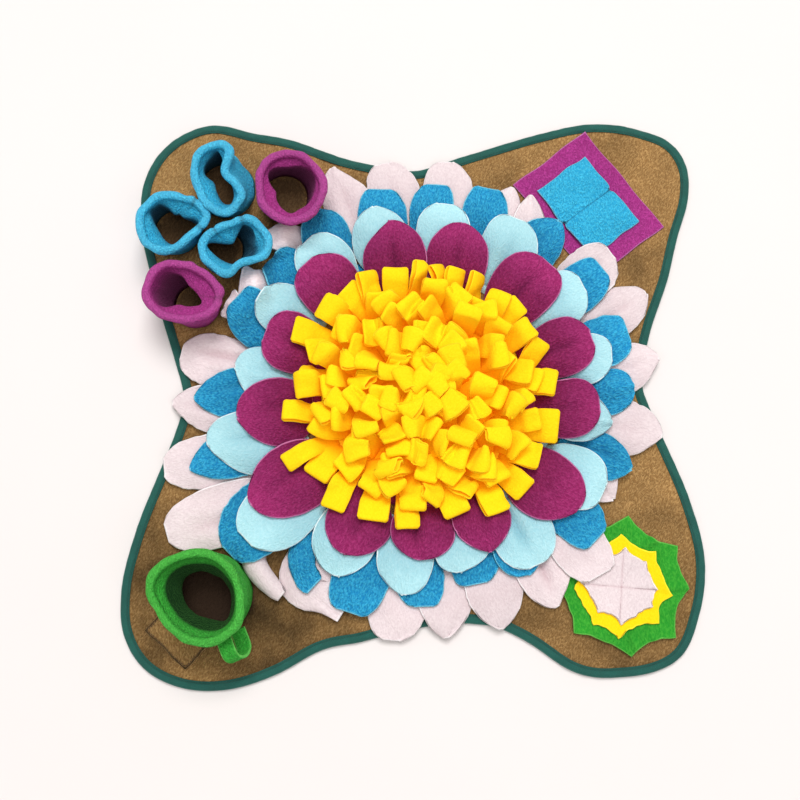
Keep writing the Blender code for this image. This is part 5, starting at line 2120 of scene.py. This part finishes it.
def petal_rings() -> list[PetalRing]:
    """List the four rings of petals, from the mat upwards."""
    return [
        PetalRing("ring_pink", "petals_pink", PINK, 184, 6.2, (3, 3.5), 3, (Cut.ROUND, Cut.POINTED, Cut.BLUNT),
                  (1, 5), 0.55, (
            (9, 260, 56), (25, 271, 54), (37, 263, 58), (62, 256, 42), (67, 256, 46), (84, 268, 56),
            (99, 269, 58), (111, 279, 56), (136, 239.5, 34), (148.5, 234, 38), (155, 236, 35), (170, 269, 58),
            (182, 273, 54), (195.5, 290, 58), (208.5, 312, 66), (235, 262, 38), (249.5, 252, 62), (262, 263, 60),
            (275, 259, 58), (288, 262, 62), (302, 266, 60), (314, 268, 60), (331, 232, 46), (350, 261, 62)),
            {9: Petal(Cut.POINTED, pinch=2, skew=0.5, side=3),
             25: Petal(Cut.ROUND, pinch=3, side=-3), 37: Petal(Cut.BLUNT, pinch=6, pinch_at=0.2, skew=0.5),
             62: Petal(Cut.POINTED, tip=3, ridge=2, late=True), 67: Petal(Cut.POINTED, pinch=2, tip=3),
             84: Petal(Cut.BLUNT, pinch=2, skew=0.4), 99: Petal(Cut.BLUNT, pinch=3, skew=0.5),
             111: Petal(Cut.POINTED, pinch=3, skew=0.8, ridge=1.5),
             # tone paints light on these petals, which the cups shade
             136: Petal(Cut.BLUNT, ridge=-2, tip=-2, side=-3, knee=(127.5, 234.5), lift=19, tone=7),
             148.5: Petal(Cut.SQUARE, tip=-5, side=2, lift=26, tone=7),
             155: Petal(Cut.SQUARE, ridge=3, tip=-1, bow=0.08, lift=20, tone=7),
             170: Petal(Cut.BLUNT, pinch=5, pinch_at=-0.3),
             182: Petal(Cut.POINTED, pinch=5, skew=-0.4, side=4), 195.5: Petal(Cut.BLUNT, pinch=3, skew=0.4),
             208.5: Petal(Cut.BLUNT, pinch=4, pinch_at=0.25, side=3),
             235: Petal(Cut.FLAT, roll=95, knee=(214, 273), late=True),
             249.5: Petal(Cut.TAILED, ridge=-2, side=2, tip=2, knee=(230, 251)),
             275: Petal(Cut.POINTED, pinch=1, ridge=1.5), 288: Petal(Cut.POINTED, pinch=1, side=3),
             302: Petal(Cut.POINTED, pinch=5, skew=-0.5),
             314: Petal(Cut.FLAT, pinch=3, skew=-0.4, bow=-0.1), 350: Petal(Cut.POINTED, pinch=2, skew=0.5)},
            "mat_fleece", 21),
        PetalRing("ring_blue", "petals_blue", BLUE, 163, -1.9, (9, 8), 3.5, (Cut.FLAT, Cut.BLUNT, Cut.ROUND),
                  (1, 5), 0.35, (
            (2, 227, 50), (17, 233, 56), (35, 242, 52), (52, 247, 54), (72, 245, 51), (87, 238, 48),
            (101, 236, 54), (120, 238, 54), (136.5, 225, 54), (154, 227, 56), (181, 248, 56), (198, 263, 56),
            (219, 268, 72), (240.5, 235, 42), (251, 245, 60), (269, 226, 50), (285, 210, 50), (300, 223, 56),
            (320, 240, 54), (340, 236, 54)),
            {2: Petal(Cut.BLUNT, pinch=0, pinch_at=0.1, ridge=7, side=-3, skew=0.4),
             35: Petal(Cut.FLAT, pinch=3, skew=0.6),
             72: Petal(Cut.FLAT, pinch=3, skew=0.6), 87: Petal(Cut.FLAT, pinch=2, skew=-0.6, side=2),
             101: Petal(Cut.FLAT, pinch=2, skew=0.6, side=3),
             120: Petal(Cut.BLUNT, pinch_at=-0.45, ridge=6, side=4),
             154: Petal(Cut.FLAT, pinch=3, skew=-0.6, side=2),
             181: Petal(Cut.POINTED, pinch=5, pinch_at=-0.4, side=4), 198: Petal(Cut.POINTED, pinch=3),
             219: Petal(Cut.BLUNT, pinch=3, skew=0.5),
             240.5: Petal(Cut.WAISTED, pinch=1, tip=3, knee=(229.5, 229)), 320: Petal(Cut.FLAT, pinch=2, skew=-0.5),
             340: Petal(Cut.POINTED, pinch=6, pinch_at=0.3)}, "ring_pink", 22, gloom=0.4),
        PetalRing("ring_sky", "petals_sky", SKY, 142, 14.6, (14, 12), 4, (Cut.ROUND, Cut.ROUND, Cut.BLUNT),
                  (1, 5.5), 0.2, (
            (11, 207, 56), (34, 211, 62), (62, 222, 64), (84, 214, 60), (104, 216, 64), (128, 213, 62),
            (149, 206, 58), (172, 206, 60), (194, 238, 72), (220, 244, 74), (245, 215, 68), (264, 215, 60),
            (281, 194, 60), (303, 218, 66), (331, 218, 66), (351, 204, 54)),
            {11: Petal(Cut.BLUNT, pinch=3, skew=0.5), 34: Petal(Cut.BLUNT, pinch=3, skew=0.4),
             303: Petal(Cut.BLUNT, pinch=8, pinch_at=-0.1, ridge=-3),
             331: Petal(Cut.BLUNT, pinch=2, skew=-0.4),
             351: Petal(Cut.POINTED, pinch=2, ridge=5, side=-4)}, "ring_blue", 23, gloom=0.45),
        PetalRing("ring_plum", "petals_plum", PLUM, 121, 19.6, (18, 17), 4.5, (Cut.ROUND, Cut.ROUND, Cut.POINTED),
                  (4, 8.5), 0.15, (
            (18, 191, 64), (47, 199, 72), (77, 194, 68), (101, 195, 70), (131, 192, 68), (159, 184, 66),
            (188, 201, 74), (213, 219, 76), (243, 192, 70), (267, 178, 68), (292, 183, 62), (323, 205, 74),
            (355, 188, 64)),
            {18: Petal(Cut.BLUNT, pinch=7, tip=-2), 47: Petal(Cut.BLUNT, pinch=8, skew=-0.4, side=3),
             77: Petal(Cut.ROUND, pinch=6), 101: Petal(Cut.POINTED, pinch=7, skew=-0.6),
             131: Petal(Cut.BLUNT, pinch=4, skew=0.5, side=2), 159: Petal(Cut.BLUNT, pinch=6, side=3),
             292: Petal(Cut.POINTED, pinch=5, ridge=2), 355: Petal(Cut.BLUNT, pinch=5, skew=0.3)},
            "ring_sky", 24, gloom=0.6),
    ]


def cups() -> list[TubeCup]:
    """List the tube cups."""
    return [
        TubeCup("blue_cup_back", "cup_blue_back", AZURE, (-211, 235, 33), (-219, 228), 60, (
            (11, 19), (41, 24), (55, 37), (75, 42), (97, 38), (120, 32), (152, 24), (190, 19),
            (225, 20), (265, 33), (287, 43), (312, 44), (332, 41), (347, 31)),
            (-212, 234), (
            (10, 8), (50, 10), (78, 17), (92, 30), (110, 25), (130, 22), (163, 17), (200, 10), (222, 9), (250, 13),
            (264, 20), (280, 31), (294, 33), (308, 27), (325, 17)), seed=1),
        TubeCup("blue_cup_left", "cup_blue_left", AZURE, (-265, 186, 27), (-257, 179), 58, (
            (10, 37), (44, 34), (92, 31), (137, 38), (159, 40), (193, 39), (217, 41), (239, 38),
            (272, 33), (310, 26), (345, 30)),
            (-261, 183), (
            (0, 27), (18, 15), (50, 11), (98, 11), (122, 23), (137, 32), (154, 28), (175, 22), (226, 19), (270, 25),
            (307, 21), (344, 25)), creases=((48, 4, 9, 0.5), (345, 3, 8, 0.5)), seed=2),
        TubeCup("blue_cup_front", "cup_blue_front", AZURE, (-213, 164, 25), (-194, 154), 58, (
            (37, 38), (67, 35), (90, 27), (132, 25), (157, 30), (178, 35), (203, 36), (235, 34),
            (265, 35), (295, 25), (328, 34), (348, 40)),
            (-186, 149), (
            (5, 16), (46, 20), (70, 33), (84, 34), (98, 23), (114, 17), (138, 14), (154, 22), (166, 42), (180, 32),
            (204, 22), (246, 14), (290, 12), (325, 13)), creases=((140, 3, 6, 0.2), (75, 4, 9, 0.5)), seed=3),
        TubeCup("plum_cup_back", "cup_plum_back", MAGENTA, (-145, 226, 28), (-134, 217), 60, (
            (6, 39), (33, 38), (67, 40), (98, 42), (124, 42), (153, 38), (183, 35), (208, 36),
            (241, 37), (271, 40), (304, 40), (331, 40)),
            (-134, 217), (
            (5, 27), (42, 31), (97, 27), (140, 31), (160, 24), (186, 16), (215, 18), (247, 22), (270, 26), (295, 24),
            (334, 26)), seed=4, waist=0.8, gloom=1.9),
        TubeCup("plum_cup_front", "cup_plum_front", MAGENTA, (-240, 101, 26), (-245, 101), 60, (
            (21, 36), (57, 31), (97, 33), (121, 38), (153, 40), (181, 42), (201, 39), (228, 35),
            (266, 33), (301, 36), (328, 41), (356, 41)),
            (-256, 105), (
            (15, 17), (42, 16), (82, 19), (123, 23), (162, 26), (200, 25), (230, 22), (262, 18), (294, 17), (318, 26),
            (334, 33), (350, 25)), creases=((350, 4, 9, 0.5),), seed=5, waist=0.76, gloom=1.9),
        TubeCup("green_cup", "cup_green", GREEN, (-212, -214, 41), (-219, -215), 80, (
            (10, 47), (34, 45), (60, 45), (101, 43), (129, 45), (152, 47), (170, 48), (203, 42),
            (234, 42), (264, 46), (287, 51), (310, 53), (328, 53), (346, 49)),
            (-212, -216), (
            (27, 23), (75, 22), (115, 27), (146, 30), (188, 24), (229, 21), (279, 24), (312, 31), (345, 26)),
            seed=6, roll=4.4, waist=0.55, gloom=0.5),
    ]


def report(piece: Thing) -> None:
    """Log a piece's name and size."""
    piece.data.calc_loop_triangles()
    LOG.info("%s: %d triangles", piece.name, len(piece.data.loop_triangles))


@dataclass
class Ground:
    """The mat and its binding as the lowest things on the heap."""

    step: float = 0.004        # share of the outline between two rings on the mat
    stations: int = 2400       # points along each of them
    apart: float = 1.2         # distance between two rings on the binding
    edge_stations: int = 1800  # points along each of them
    clear: float = 0.5         # height kept above the binding

    def stamp(self, heap: Heap, binding: EdgeBinding) -> None:
        """Mark the mat and its binding on the heap.

        Args:
            heap: What lies below the next piece.
            binding: The binding along the mat's edge.
        """
        for share in np.arange(0, 1, self.step):
            outline = mat_outline(self.stations) * share
            heap.stamp(np.column_stack((outline, np.full(len(outline), MAT_TOP))), spread=0)
        edge = mat_outline(self.edge_stations)
        normal = inward(edge)
        for inset in np.arange(0, binding.width, self.apart):
            ring = edge + normal * inset
            heap.stamp(np.column_stack((ring, np.full(len(ring), SEAT + binding.thick + self.clear))))


def main() -> None:
    """Build every piece, from the mat upwards."""
    logging.basicConfig(level=logging.INFO, format="%(name)s %(message)s")
    Studio().build()
    heap, binding = Heap(), EdgeBinding()
    Ground().stamp(heap, binding)
    for piece in flat_pieces() + petal_rings() + [LoopHeart()]:
        report(piece.build(heap))
    tubes = cups()
    for cup in tubes:
        report(cup.build())
    report(StrapHandle(tubes[-1]).build())
    report(BaseMat(shaded=tuple(cup.foot for cup in tubes)).build(heap))
    report(binding.build())
    report(binding.stitches())


if __name__ == "__main__":
    main()
